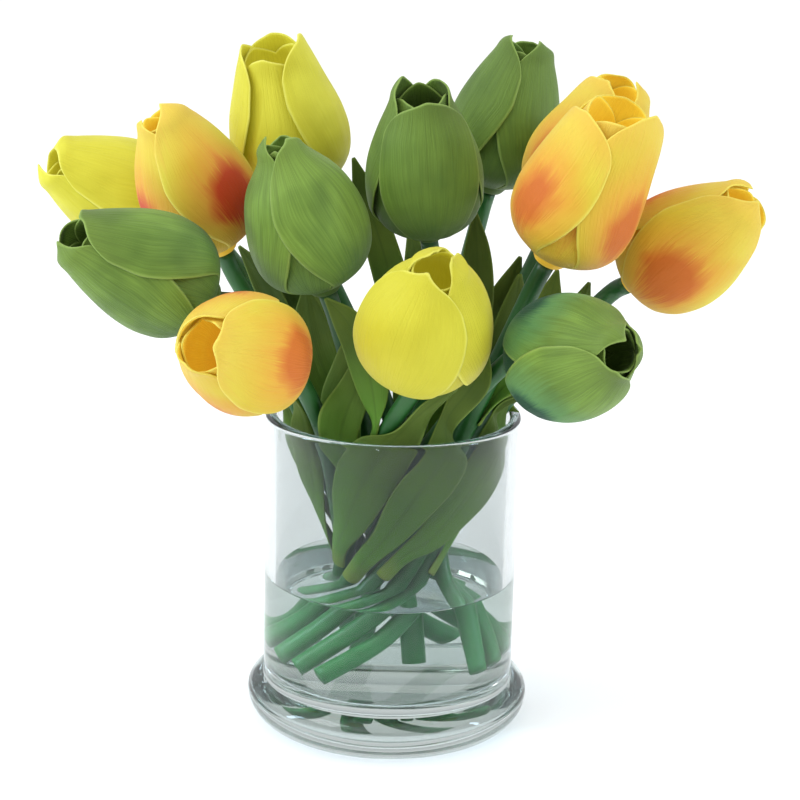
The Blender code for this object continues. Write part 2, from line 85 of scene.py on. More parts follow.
# %% Leaves
# stem it clasps, height of its foot, points on the way to its tip, widest width, and the
# azimuth that its outer face looks towards
LEAVES = {
    "leaf_01": ("stem_07", 67,
                [(-18, -23, 84), (-13, -33, 102), (-6, -39, 119), (7, -47, 139), (23, -50, 151)], 25, -95),
    "leaf_02": ("stem_13", 63,
                [(0, -28, 87), (11, -35, 108), (22, -38, 129), (29, -42, 148), (33, -39, 167)], 25, -85),
    "leaf_03": ("stem_11", 66,
                [(15, -26, 83), (28, -24, 100), (37, -20, 115), (46, -24, 133), (56, -28, 144)], 18, -70),
    "leaf_04": ("stem_10", 64,
                [(28, -5, 90), (32, -2, 112), (36, -3, 132), (42, -8, 149), (48, -12, 161)], 16, -75),
    "leaf_05": ("stem_09", 70,
                [(34, 10, 96), (38, 11, 117), (41, 8, 143), (45, 2, 164), (47, -6, 184)], 17, -70),
    "leaf_06": ("stem_06", 64,
                [(-29, -2, 86), (-31, -14, 110), (-34, -24, 127), (-39, -34, 143)], 18, -118),
    "leaf_07": ("stem_05", 70,
                [(-29, 8, 88), (-38, 4, 108), (-41, 2, 124), (-52, 0, 141), (-62, 0, 151)], 18, -135),
    "leaf_08": ("stem_07", 94,
                [(-19, -31, 126), (-13, -32, 146), (-6, -32, 164), (0, -32, 175)], 13, -105),
    "leaf_09": ("stem_07", 122,
                [(-8, -39, 146), (-12, -39, 160), (-19, -38, 173), (-26, -40, 181)], 14, -95),
    "leaf_10": ("stem_04", 88,
                [(-16, -14, 112), (-20, -20, 130), (-16, -26, 148), (-9, -28, 167), (0, -28, 182)], 18, -95),
    "leaf_11": ("stem_04", 108,
                [(-18, 0, 128), (-27, -1, 142), (-32, -2, 159), (-35, 2, 176)], 18, -100),
    "leaf_12": ("stem_01", 118,
                [(-30, 24, 140), (-40, 27, 158), (-50, 28, 178), (-56, 28, 194)], 16, -110),
    "leaf_13": ("stem_02", 104,
                [(-38, 15, 136), (-48, 23, 162), (-56, 28, 176), (-63, 32, 184)], 13, -110),
    "leaf_14": ("stem_08", 120,
                [(6, 12, 148), (0, 18, 168), (-7, 22, 190), (-13, 24, 207), (-18, 24, 222)], 14, -90),
    "leaf_15": ("stem_08", 100,
                [(20, 5, 126), (27, 5, 150), (31, 11, 170), (31, 14, 189), (30, 16, 203)], 16, -85),
    "leaf_16": ("stem_09", 112,
                [(31, 28, 140), (38, 28, 155), (45, 28, 171), (49, 30, 183)], 15, -75),
    "leaf_17": ("stem_11", 130,
                [(49, -20, 152), (55, -19, 165), (58, -15, 176), (61, -10, 187)], 13, -80),
    "leaf_18": ("stem_12", 92,
                [(35, -16, 110), (43, -10, 125), (53, -4, 139), (65, -2, 147)], 13, -60),
    "leaf_19": ("stem_12", 132,
                [(58, 8, 150), (66, 12, 160), (72, 11, 169), (75, 9, 178)], 12, -70),
    "leaf_20": ("stem_03", 64,
                [(12, 29, 90), (9, 39, 116), (10, 52, 146), (9, 66, 168), (5, 74, 184)], 20, 90),
    "leaf_21": ("stem_01", 70,
                [(-14, 29, 90), (-20, 36, 118), (-25, 50, 143), (-31, 66, 164), (-36, 78, 178)], 20, 112),
    "leaf_22": ("stem_02", 64,
                [(-18, 26, 88), (-29, 28, 116), (-46, 32, 144), (-66, 36, 157), (-80, 38, 164)], 16, 155),
    "leaf_23": ("stem_09", 90,
                [(24, 34, 116), (28, 42, 140), (35, 56, 158), (36, 68, 174)], 15, 66),
}
print(len(LEAVES), "leaves")

# %% [markdown]
# ## Small tools
#
# Vectors, a smooth step, and two ways to draw a smooth curve through a few numbers: one
# for a quantity such as a petal's width, one for a line through space.

# %% Curves and directions


def unit(v):
    v = np.asarray(v, float)
    return v / max(np.linalg.norm(v), 1e-9)


def direction(azimuth, elevation):
    a, e = math.radians(azimuth), math.radians(elevation)
    return np.array([math.cos(a) * math.cos(e), math.sin(a) * math.cos(e), math.sin(e)])


def smooth(t):
    t = np.clip(t, 0.0, 1.0)
    return t * t * (3 - 2 * t)


def eased(x, xs, ys):
    """A smooth curve through the points (xs, ys), read at x."""
    xs, ys = np.asarray(xs, float), np.asarray(ys, float)
    slope = np.gradient(ys, xs)
    k = np.clip(np.searchsorted(xs, x, side="right") - 1, 0, len(xs) - 2)
    wide = xs[k + 1] - xs[k]
    t = np.clip((x - xs[k]) / wide, 0, 1)
    return ((2 * t ** 3 - 3 * t ** 2 + 1) * ys[k] + (t ** 3 - 2 * t ** 2 + t) * wide * slope[k]
            + (3 * t ** 2 - 2 * t ** 3) * ys[k + 1] + (t ** 3 - t ** 2) * wide * slope[k + 1])


def resampled(line, count):
    """The line with `count` points evenly spaced along it."""
    steps = np.linalg.norm(np.diff(line, axis=0), axis=1)
    at = np.concatenate([[0], np.cumsum(steps)])
    want = np.linspace(0, at[-1], count)
    return np.stack([np.interp(want, at, line[:, k]) for k in range(3)], 1)


def through(points, count):
    """A Catmull-Rom curve through the points, evenly spaced."""
    p = np.asarray(points, float)
    p = np.vstack([2 * p[0] - p[1], p, 2 * p[-1] - p[-2]])
    out = []
    for i in range(1, len(p) - 2):
        a, b, c, d = p[i - 1:i + 3]
        for t in np.linspace(0, 1, 24, endpoint=False):
            out.append(0.5 * (2 * b + (c - a) * t + (2 * a - 5 * b + 4 * c - d) * t * t
                              + (3 * b - a - 3 * c + d) * t ** 3))
    out.append(p[-2])
    return resampled(np.array(out), count)


def polar(radius, degrees, height):
    a = math.radians(degrees)
    return np.array([radius * math.cos(a), radius * math.sin(a), height])


print("half way up a smooth step:", float(smooth(0.5)))

# %% [markdown]
# ## Laying the stems
#
# Thirteen thick stems have to pass through one vase without running into each other.
# They could be placed one by one by eye, but it is easier to give each a rough path
# and let the paths push each other apart, a little at a time, the way real stems
# settle when a bunch is dropped into a vase.

# %% The vase's inside, which holds the stems in
BORE_R = 45.5                   # inside of the wall
RIM_Z, FLOOR_Z = 127.0, 21.0    # the rim, and the floor inside
FUNNEL = 2.5                    # past the rim, each mm of height frees this much to the sides
# where along a head each ball sits, and its radius as a share of the head's widest diameter
HEAD_BALLS = ((0.18, 0.34), (0.36, 0.5), (0.56, 0.49), (0.78, 0.38))


def keep_in_vase(points, margin, lip):
    """Pushes points inside the bore, from the floor to `lip` above the rim."""
    radius = np.hypot(points[..., 0], points[..., 1])
    limit = BORE_R - margin + np.maximum(points[..., 2] - RIM_Z - lip, 0) * FUNNEL
    scale = np.minimum(1, limit / np.maximum(radius, 1e-6))
    points[..., 0] *= scale
    points[..., 1] *= scale
    return points


def head_balls():
    """Each head as a row of balls, for keeping stems and leaves out of it."""
    balls = []
    for name, (base, angles, length, width, *_) in HEADS.items():
        axis = direction(*angles)
        for share, size in HEAD_BALLS:
            balls.append((name, np.array(base) + axis * length * share, width * size))
    return balls


print("balls that stand for the heads:", len(head_balls()))

# %% A rough path for each stem
RING = 11                       # stems in the outer ring
RING_START = -5.0               # azimuth of the ring's first stem at the mouth of the vase
INNER = {"bloom_04_green": (-5.0, -1.5), "bloom_08_green": (5.0, 1.5)}      # inside the ring
MOUTH_R, MOUTH_Z = 32.5, 121.0  # where the ring passes the mouth,
WAIST_R, WAIST_Z = 19.0, 60.0   # its narrowest place,
END_R, END_Z = 36.5, 27.5       # and the cut ends
TWIST = 62.0                    # degrees from the mouth to the waist, and again to the ends
CLEAR_AT = -82.0                # azimuth that the ends turn away from, for clear water in front
CLEAR_BY = 36.0                 # most that an end turns away
CLEAR_REACH = 60.0              # degrees to either side over which that fades
NECK = 16                       # a stem runs this far in line with its head
SUNK = 0.4                      # and starts this far below it


def aside(angle):
    """The azimuth of a stem's end, turned away from the clear front of the water."""
    off = (angle - CLEAR_AT + 180) % 360 - 180
    return CLEAR_AT + off + math.copysign(CLEAR_BY * math.exp(-(off / CLEAR_REACH) ** 2), off)


def stem_guide(name):
    """Where a stem would run before its neighbours push it: from its end up to its head."""
    base, angles = np.array(HEADS[name][0], float), HEADS[name][1]
    axis = direction(*angles)
    place = HEADS[name][5]
    top, neck = base - axis * SUNK, base - axis * NECK
    if place is None:
        x, y = INNER[name]
        low = np.array([x * 1.6, -y * 2.0, END_Z])
        mouth = np.array([x * 2.0, y + base[1] * 0.4, MOUTH_Z])
        return [low, np.array([x, y, WAIST_Z]), mouth, neck, top]
    angle = RING_START + place * 360 / RING
    return [polar(END_R, aside(angle - 2 * TWIST), END_Z), polar(WAIST_R, angle - TWIST, WAIST_Z),
            polar(MOUTH_R, angle, MOUTH_Z), neck, top]


print("path of stem_01:", [[round(float(v)) for v in p] for p in stem_guide("bloom_01_yellow")])

# %% The settling
STEM_R = 3.5
STEM_APART = 8.7                # between the middles of two stems
STEM_POINTS = 56                # points along a stem while it settles
HELD = 5                        # points at its top that stay in line with its head
STEM_ROUNDS = 160
HEAD_ROOM, WALL_ROOM = 2.0, 2.6  # kept free beside a stem
HEAD_PUSH = 0.6                 # mm that a head moves a stem in one round
STEM_PUSH = 0.5                 # share of what is missing that neighbours make up in one round
STRAIGHTEN = 0.35               # share of the way that a point moves to between its neighbours


def lay_stems():
    """Every stem's centre line, pushed apart until no two come closer than STEM_APART."""
    names = list(HEADS)
    lines = np.array([through(stem_guide(n), STEM_POINTS) for n in names])
    count, many = lines.shape[:2]
    owner = np.repeat(np.arange(count), many)
    other = owner[:, None] != owner[None, :]
    fixed = lines[:, -HELD:].copy()
    balls = head_balls()
    for _ in range(STEM_ROUNDS):
        flat = lines.reshape(-1, 3)
        gap = flat[:, None] - flat[None]
        dist = np.linalg.norm(gap, axis=2) + 1e-9
        near = other & (dist < STEM_APART)
        push = np.where(near, (STEM_APART - dist) * 0.5 / dist, 0)[..., None] * gap
        lines = (flat + push.sum(1) * STEM_PUSH).reshape(lines.shape)
        for name, centre, radius in balls:
            away = lines - centre
            far = np.linalg.norm(away, axis=2)
            own = np.array([n == name for n in names])[:, None]
            inside = (far < radius + STEM_R + HEAD_ROOM) & ~own
            lines[inside] += away[inside] / far[inside][:, None] * HEAD_PUSH
        middle = (lines[:, :-2] + lines[:, 2:]) / 2
        lines[:, 1:-1] += (middle - lines[:, 1:-1]) * STRAIGHTEN
        low = lines[..., 2] < RIM_Z
        kept = keep_in_vase(lines.copy(), STEM_R + WALL_ROOM, 0)
        lines = np.where(low[..., None], kept, lines)
        lines[:, 0, 2] = END_Z
        lines[..., 2] = np.maximum(lines[..., 2], END_Z)
        lines[:, -HELD:] = fixed
    return {n.replace("bloom", "stem").rsplit("_", 1)[0]: line for n, line in zip(names, lines)}


fine_stems = lay_stems()
stems = {n: resampled(line, 12) for n, line in fine_stems.items()}
print("longest stem:", round(max(np.linalg.norm(np.diff(s, axis=0), axis=1).sum()
                                 for s in fine_stems.values())), "mm")

# %% [markdown]
# ## Laying the leaves
#
# A leaf starts as a flat ribbon of points that bends round its stem at the foot and
# opens towards its tip. It then slides, point by point, until it is clear of every
# stem, every head, the glass, and the leaves laid before it. Moves are shared with the
# neighbouring points, so the blade stays smooth.

# %% The ribbon of points
LEAF_T = 0.8                    # thickness
LEAF_ROWS, LEAF_COLS = 9, 4     # points along and across
GAP = 0.3                       # between pieces that rest against each other
SHORT_LEAF = 85                 # a leaf shorter than this has two rows fewer
LOW_FOOT = 80                   # a leaf that clasps lower than this leans out of the bunch,
LEAN_LOW, LEAN_HIGH = 1.0, 0.2  # by the first share, and a higher one by the second
HOLD = 10                       # it follows its stem this far
FOOT_AIR, HOLD_AIR = 0.35, 1.5  # more room at its foot, and more again where it leaves the stem
FOOT_WIDE = 8.6                 # width where it clasps
OPEN_BEND = 26                  # radius that it is bent to once it has left the stem
FACE_UP = 8                     # degrees that its open face looks up


def at_height(line, z):
    """The point of a stem at a height, and which way the stem runs there."""
    k = int(np.clip(np.searchsorted(line[:, 2], z), 1, len(line) - 1))
    low, high = line[k - 1], line[k]
    return low + (high - low) * (z - low[2]) / (high[2] - low[2]), unit(high - low)


def leaf_line(spec):
    """Middle line of a leaf from its clasp on the stem to its tip, with its first facing."""
    host, foot, way = spec[:3]
    line = stems[host]
    start, run = at_height(line, foot)
    later, _ = at_height(line, foot + HOLD)
    toward = np.array(way[0]) - later
    lean = LEAN_LOW if foot < LOW_FOOT else LEAN_HIGH
    out = unit([start[0], start[1], 0.0]) * lean + unit([toward[0], toward[1], 0])
    out = unit(out - run * (out @ run))
    reach = STEM_R + GAP + LEAF_T / 2 + FOOT_AIR
    points = [start + out * reach, later + out * (reach + HOLD_AIR)] + [np.array(p, float) for p in way]
    length = np.linalg.norm(np.diff(np.array(points), axis=0), axis=1).sum()
    return through(points, LEAF_ROWS if length > SHORT_LEAF else LEAF_ROWS - 2), out, reach


def leaf_grid(spec):
    """Points on the middle surface of a leaf before it slides clear, and its outward normals."""
    line, out, reach = leaf_line(spec)
    width, aim = spec[3], direction(spec[4], FACE_UP)
    aim = aim if aim @ out > 0 else -aim
    tangent = np.gradient(line, axis=0)
    grid, faces = [], []
    for k, (p, run) in enumerate(zip(line, tangent)):
        t = k / (len(line) - 1)
        run = unit(run)
        face = out * (1 - smooth(t / 0.5)) + aim * smooth(t / 0.5)
        face = unit(face - run * (face @ run))
        side = np.cross(run, face)
        # as narrow as its clasp at the foot, widest in its middle, with a rounded point
        wide = FOOT_WIDE + (width - FOOT_WIDE) * smooth((t - 0.07) / 0.45)
        wide *= max(1 - max((t - 0.45) / 0.55, 0) ** 2.4, 0.02) ** 0.6
        bend = reach + (OPEN_BEND - reach) * smooth(t / 0.6)
        arcs = np.linspace(-1, 1, LEAF_COLS) * wide / 2 / bend
        grid.append([p + bend * (math.cos(a) - 1) * face + bend * math.sin(a) * side for a in arcs])
        faces.append([face] * LEAF_COLS)
    return np.array(grid), np.array(faces)


print("points of a long leaf:", leaf_grid(LEAVES["leaf_01"])[0].shape[:2])

# %% What pushes a leaf
# gap kept to the stem that a leaf clasps, at its second row and further up
CLASP_SPARE, OWN_SPARE = 0.75, 1.3
STEM_SPARE, LEAF_SPARE = 0.8, 1.0       # gaps kept to other stems and leaves
STEM_NEAR, LEAF_NEAR = 11, 9.0          # how near a stem or a leaf has to be to push
# how far to its side the stem that a leaf clasps, another stem and another leaf push, and
# over what distance that fades
OWN_BESIDE, STEM_BESIDE, LEAF_BESIDE = (8.0, 3.0), (9.5, 4.0), (5.0, 3.0)
STEADY = 0.8                            # how much of a row's direction comes from the row below


def beside(lateral, reach, fading):
    """1 right over what pushes, falling to 0 at `reach` to its side."""
    return np.clip((reach - lateral) / fading, 0, 1)


def nearest_on_line(grid, line):
    """From the nearest point of a stem to each point of a leaf."""
    a, b = line[:-1], line[1:]
    span = b - a
    share = ((grid[..., None, :] - a) * span).sum(-1) / (span * span).sum(-1)
    spots = a + np.clip(share, 0, 1)[..., None] * span
    away = grid[..., None, :] - spots
    best = (away ** 2).sum(-1).argmin(-1)
    return np.take_along_axis(away, best[..., None, None], -2)[..., 0, :]


def off_own_stem(grid, line, out):
    """Moves that keep each row of a leaf outside the stem it clasps."""
    away = nearest_on_line(grid, line)
    move = np.zeros_like(grid)
    toward = out
    for i in range(len(grid)):
        toward = unit(toward * STEADY + unit(away[i].mean(0)))
        off = away[i] @ toward
        lateral = np.sqrt(np.maximum((away[i] ** 2).sum(1) - off ** 2, 0))
        spare = CLASP_SPARE if i == 1 else OWN_SPARE
        need = (STEM_R + LEAF_T / 2 + spare) * beside(lateral, *OWN_BESIDE)
        short = np.where(need > 0, np.maximum(need - off, 0), 0)
        move[i] = toward * short[:, None] if i > 0 else 0
    return move


def past_stem(grid, faces, line):
    """Moves that lay a leaf over a stem, all of it on the side where most of it already is."""
    away = nearest_on_line(grid, line)
    off = (away * faces).sum(-1)
    dist = np.linalg.norm(away, axis=-1)
    near = dist < STEM_NEAR
    if not near.any():
        return np.zeros_like(grid)
    side = 1.0 if off[near].sum() > 0 else -1.0
    lateral = np.sqrt(np.maximum(dist ** 2 - off ** 2, 0))
    need = (STEM_R + LEAF_T / 2 + STEM_SPARE) * beside(lateral, *STEM_BESIDE)
    short = np.where(near & (need > 0), np.maximum(need - side * off, 0), 0)
    return faces * (side * short)[..., None]


def past_leaf(grid, tree):
    """Moves that keep a leaf on one side of another leaf that is already in place."""
    found = [tree.find_nearest(Vector(p), LEAF_NEAR) for p in grid.reshape(-1, 3)]
    offs = []
    for p, (place, normal, _, _) in zip(grid.reshape(-1, 3), found):
        offs.append(0.0 if place is None else float((Vector(p) - place).dot(normal)))
    side = 1.0 if sum(offs) > 0 else -1.0
    move = np.zeros((len(found), 3))
    reach, fading = LEAF_BESIDE
    for k, (place, normal, _, dist) in enumerate(found):
        if place is None:
            continue
        lateral = math.sqrt(max(dist * dist - offs[k] ** 2, 0))
        short = (LEAF_T + LEAF_SPARE) * beside(lateral, reach, fading) - side * offs[k]
        if lateral < reach and short > 0:
            move[k] = np.array(normal) * side * short
    return move.reshape(grid.shape)


print("nearest point of stem_07 to its leaf:",
      round(float(np.linalg.norm(nearest_on_line(leaf_grid(LEAVES["leaf_01"])[0], stems["stem_07"]),
                                 axis=-1).min()), 1), "mm")

# %% The sliding itself
WATER_Z = 59.3                  # the water's surface, which the leaves stay above
LEAF_ROUNDS = 50
HEAD_GAP, WALL_GAP, WATER_GAP = 1.5, 0.9, 1.4
LONGEST_MOVE = 2                # in one round
SLIDE = 0.8                     # share of a move that is made in one round
OVER_RIM = 0.75                 # a leaf opens out once it is this share of a row above the rim


def blurred(move):
    """The moves shared with their neighbours along and across the leaf."""
    wide = np.pad(move, ((1, 1), (1, 1), (0, 0)), mode="edge")
    rows, cols = move.shape[:2]
    total = sum(wide[i:i + rows, j:j + cols] for i in range(3) for j in range(3))
    return 0.5 * move + 0.5 * total / 9


def settle(grid, faces, host, out, trees, balls):
    """Slides a leaf clear of stems, heads, glass and the leaves already in place."""
    lip = OVER_RIM * np.linalg.norm(np.diff(grid[:, 1], axis=0), axis=1).mean()
    for _ in range(LEAF_ROUNDS):
        move = off_own_stem(grid, stems[host], out)
        for name, line in stems.items():
            if name != host:
                move = move + past_stem(grid, faces, line)
        for tree in trees:
            move = move + past_leaf(grid, tree)
        for _, centre, radius in balls:
            away = grid - centre
            far = np.linalg.norm(away, axis=2)[..., None]
            clear = radius + HEAD_GAP
            move = move + np.where(far < clear, away / far * (clear - far), 0)
        move[0] = 0
        grid = grid + blurred(np.clip(move, -LONGEST_MOVE, LONGEST_MOVE)) * SLIDE
        kept = keep_in_vase(grid.copy(), LEAF_T / 2 + WALL_GAP, lip)
        grid[1:] = kept[1:]
        grid[..., 2] = np.maximum(grid[..., 2], WATER_Z + WATER_GAP)
    return grid


def sheet_tree(grid):
    """The middle surface of a leaf, for finding how near another leaf comes."""
    rows, cols = grid.shape[:2]
    quads = [(i * cols + j, (i + 1) * cols + j, (i + 1) * cols + j + 1, i * cols + j + 1)
             for i in range(rows - 1) for j in range(cols - 1)]
    return BVHTree.FromPolygons([Vector(p) for p in grid.reshape(-1, 3)], quads)


def lay_leaves():
    trees, balls, laid = [], head_balls(), {}
    for name, spec in LEAVES.items():
        grid, faces = leaf_grid(spec)
        laid[name] = settle(grid, faces, spec[0], faces[0, 0], trees, balls)
        trees.append(sheet_tree(laid[name]))
    return laid


leaf_grids = lay_leaves()
print("widest leaf:", round(max(np.linalg.norm(g[:, 0] - g[:, -1], axis=1).max()
                                for g in leaf_grids.values()), 1), "mm")

# %% [markdown]
# ## Sheets
#
# Petals and leaves are thin sheets, so both start as the same thing: a flat grid of
# faces whose corners are then lifted into place by a rule. The grid could be modelled
# flat and bent with modifiers, but a rule keeps the width, the curl and the ripples of
# each blade under separate control. The grid's own coordinates are kept as a UV map,
# so a pattern can later run along the blade and fan out with it. Solidify gives it a
# thickness and one level of subdivision rounds its rim.

# %% A sheet from a rule
EDGE_MM = 3.0                   # how far in from the rim a blade's edge tone reaches


def sheet(bm, columns, rows, place, facts, core=None):
    """Adds a grid of faces to bm, with each corner where place(across, along) puts it.

    across runs -1 to 1 and along runs 0 to 1. place also gives the distance to the rim.
    The faces look away from core, where one is given.
    """
    uv = bm.loops.layers.uv.get("UVMap") or bm.loops.layers.uv.new("UVMap")
    layers = {k: bm.verts.layers.float.get(k) or bm.verts.layers.float.new(k)
              for k in ("rim", *facts)}
    made = bmesh.ops.create_grid(bm, x_segments=columns, y_segments=rows, size=1.0)["verts"]
    s = np.array([v.co.x for v in made])
    t = (np.array([v.co.y for v in made]) + 1) / 2
    points, rim = place(s, t)
    for v, p, r in zip(made, points, rim):
        v.co = Vector(p) * MM
        v[layers["rim"]] = min(r / EDGE_MM, 1.0)
        for key, value in facts.items():
            v[layers[key]] = value
    at = {v: (a / 2 + 0.5, b) for v, a, b in zip(made, s, t)}
    faces = list({f for v in made for f in v.link_faces})
    for face in faces:
        face.normal_update()
    if core is not None:
        middle = Vector(core) * MM
        if sum((f.calc_center_median() - middle).dot(f.normal) for f in faces) < 0:
            bmesh.ops.reverse_faces(bm, faces=faces)
    for face in faces:
        face.smooth = True
        for loop in face.loops:
            loop[uv].uv = at[loop.vert]
    return made


def placed(name, data):
    """A new object in the scene: a mesh, a lamp or a camera."""
    thing = bpy.data.objects.new(name, data)
    bpy.context.scene.collection.objects.link(thing)
    return thing


def with_mesh(name, bm, mat):
    """The bmesh as a new object with one material."""
    mesh = bpy.data.meshes.new(name)
    bm.to_mesh(mesh)
    bm.free()
    mesh.materials.append(mat)
    return placed(name, mesh)


def finished(name, bm, node, mat):
    """The bmesh as a piece that stands for a node of the solid model."""
    piece = with_mesh(name, bm, mat)
    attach(piece, "root")
    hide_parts(node)
    return piece


def thicken(piece, thick, lining=None):
    """Gives a sheet its thickness and rounds its rim. A lining is a second finish, inside."""
    solid = piece.modifiers.new("thickness", "SOLIDIFY")
    if lining:
        piece.data.materials.append(lining)
        solid.material_offset = 1
    solid.thickness = thick * MM
    solid.offset = 0.0
    solid.use_even_offset = False
    soft = piece.modifiers.new("soft_rim", "SUBSURF")
    soft.levels = soft.render_levels = 1


print("edge tone reaches", EDGE_MM, "mm in from the rim")

# %% [markdown]
# ## Finishes
#
# Three effects come back in more than one finish, so each is a node group that is built
# once: fine ribs that run along a blade, soft blotches where the dye took unevenly, and
# a tone along the rim. A group gives out only masks and heights. Each material keeps
# its own shader.

# %% Node helpers


def new_material(name):
    """A material, its node tree and its shader."""
    mat = bpy.data.materials.new(name)
    mat.use_nodes = True
    return mat, mat.node_tree, mat.node_tree.nodes["Principled BSDF"]


def set_sockets(node, values):
    for key, value in values.items():
        node.inputs[key].default_value = value


def new_group(name, inputs, outputs):
    group = bpy.data.node_groups.new(name, "ShaderNodeTree")
    for label, default in inputs:
        socket = group.interface.new_socket(label, in_out="INPUT", socket_type="NodeSocketFloat")
        socket.default_value = default
    for label in outputs:
        group.interface.new_socket(label, in_out="OUTPUT", socket_type="NodeSocketFloat")
    start = group.nodes.new("NodeGroupInput")
    end = group.nodes.new("NodeGroupOutput")
    return group, start, end


def math_node(tree, operation, a, b=None, clamp=False):
    node = tree.nodes.new("ShaderNodeMath")
    node.operation = operation
    node.use_clamp = clamp
    for socket, value in zip(node.inputs, (a, b)):
        if value is None:
            continue
        if isinstance(value, (int, float)):
            socket.default_value = value
        else:
            tree.links.new(value, socket)
    return node.outputs[0]


def times(tree, a, b, clamp=False):
    return math_node(tree, "MULTIPLY", a, b, clamp)


def ramp(tree, value, stops):
    node = tree.nodes.new("ShaderNodeValToRGB")
    band = node.color_ramp
    while len(band.elements) < len(stops):
        band.elements.new(0.5)
    for element, (place, colour) in zip(band.elements, stops):
        element.position = place
        element.color = (*colour, 1) if len(colour) == 3 else colour
    tree.links.new(value, node.inputs["Fac"])
    return node.outputs["Color"]


def fade(tree, value, full, none):
    """A mask: 1 up to where value is `full`, and 0 from where it is `none`."""
    return ramp(tree, value, sorted([(full, (1, 1, 1)), (none, (0, 0, 0))]))


def mixed(tree, share, a, b, mode="MIX"):
    """Colour a going to colour b as share goes from 0 to 1."""
    node = tree.nodes.new("ShaderNodeMix")
    node.data_type = "RGBA"
    node.blend_type = mode
    for socket, value in zip((node.inputs[0], node.inputs[6], node.inputs[7]), (share, a, b)):
        if isinstance(value, bpy.types.NodeSocket):
            tree.links.new(value, socket)
        elif isinstance(value, (int, float)):
            socket.default_value = value
        else:
            socket.default_value = (*value, 1)
    return node.outputs[2]


def tinted(tree, colour, mask, share, tone):
    """The colour, with this share of another tone where the mask is 1."""
    return mixed(tree, times(tree, mask, share), colour, tone)


def srgb(r, g, b):
    """A colour given as 0 to 255, in the linear values that a shader takes."""
    return tuple(((c / 255 + 0.055) / 1.055) ** 2.4 if c > 10 else c / 255 / 12.92 for c in (r, g, b))


print("middle grey in linear values:", round(srgb(128, 128, 128)[0], 3))

# %% Fine ribs along a blade


def blade_position(tree):
    """Across and along the blade as two values from 0 to 1."""
    uv = tree.nodes.new("ShaderNodeUVMap")
    uv.uv_map = "UVMap"
    split = tree.nodes.new("ShaderNodeSeparateXYZ")
    tree.links.new(uv.outputs[0], split.inputs[0])
    return split.outputs["X"], split.outputs["Y"]


def noise_at(tree, place, scale, detail):
    """Noise read at a place; scale is a number, or a value that comes from another node."""
    cloud = tree.nodes.new("ShaderNodeTexNoise")
    cloud.inputs["Detail"].default_value = detail
    if isinstance(scale, (int, float)):
        cloud.inputs["Scale"].default_value = scale
    else:
        tree.links.new(scale, cloud.inputs["Scale"])
    tree.links.new(place, cloud.inputs["Vector"])
    return cloud.outputs["Fac"]


def ribs_group():
    """Ribs that run along the blade, from its UV map: finer or coarser by Count."""
    group, start, end = new_group("blade_ribs", [("Count", 60.0), ("Waver", 1.5)], ["Ribs", "Fine"])
    x, y = blade_position(group)
    where = group.nodes.new("ShaderNodeTexCoord")
    drift = noise_at(group, where.outputs["Object"], 45, 1)
    wander = times(group, drift, start.outputs["Waver"])
    across = math_node(group, "ADD", times(group, x, start.outputs["Count"]), wander)
    for label, stretch, scale in (("Ribs", 3.0, 1.0), ("Fine", 9.0, 2.7)):
        place = group.nodes.new("ShaderNodeCombineXYZ")
        for socket, value in zip(place.inputs, (times(group, across, scale), times(group, y, stretch),
                                                times(group, drift, 0.5))):
            group.links.new(value, socket)
        group.links.new(noise_at(group, place.outputs[0], 1.0, 2), end.inputs[label])
    return group


RIBS = ribs_group()
print("sockets of the ribs:", [s.name for s in RIBS.interface.items_tree])

# %% Uneven dye, and the tone of a rim


def patches_group():
    """Soft uneven dye, in the piece's own space."""
    group, start, end = new_group("uneven_dye", [("Scale", 60.0)], ["Patches", "Specks"])
    where = group.nodes.new("ShaderNodeTexCoord")
    for label, finer, detail in (("Patches", 1.0, 2), ("Specks", 14.0, 3)):
        scale = times(group, start.outputs["Scale"], finer)
        group.links.new(noise_at(group, where.outputs["Object"], scale, detail), end.inputs[label])
    return group


def rim_group():
    """1 on the rim of a blade, falling to 0 a few millimetres in."""
    group, start, end = new_group("rim_tone", [("Width", 0.35)], ["Rim"])
    fact = group.nodes.new("ShaderNodeAttribute")
    fact.attribute_name = "rim"
    share = math_node(group, "DIVIDE", fact.outputs["Fac"], start.outputs["Width"], clamp=True)
    group.links.new(math_node(group, "SUBTRACT", 1.0, share, clamp=True), end.inputs["Rim"])
    return group


DYE, RIM = patches_group(), rim_group()
print("node groups:", [g.name for g in bpy.data.node_groups])

# %% [markdown]
# ## Petal finish
#
# The petals are pressed from soft coloured foam. Yellow heads are lemon with a greener
# base, green heads are buds with paler rims, and orange heads are yellow ones with a
# red flush airbrushed low on each outer petal. All three share one recipe and differ
# in their colours and in how strong the flush is. The pale rim of every petal is partly
# the foam's paler edge and partly a painted highlight, where the edge catches the light.

# %% Parts of a finish


def use(tree, group, **values):
    """Places a node group with its own values."""
    node = tree.nodes.new("ShaderNodeGroup")
    node.node_tree = group
    set_sockets(node, values)
    return node.outputs


def attribute(tree, name):
    node = tree.nodes.new("ShaderNodeAttribute")
    node.attribute_name = name
    return node.outputs["Fac"]


def bumped(tree, height, shader, strength, distance):
    bump = tree.nodes.new("ShaderNodeBump")
    set_sockets(bump, {"Strength": strength, "Distance": distance})
    tree.links.new(height, bump.inputs["Height"])
    tree.links.new(bump.outputs[0], shader.inputs["Normal"])


def wandering(tree, value, cloud, reach):
    """A position on a blade, moved about by noise, so that a stain has no clean outline."""
    return math_node(tree, "ADD", value, times(tree, math_node(tree, "SUBTRACT", cloud, 0.5), reach))


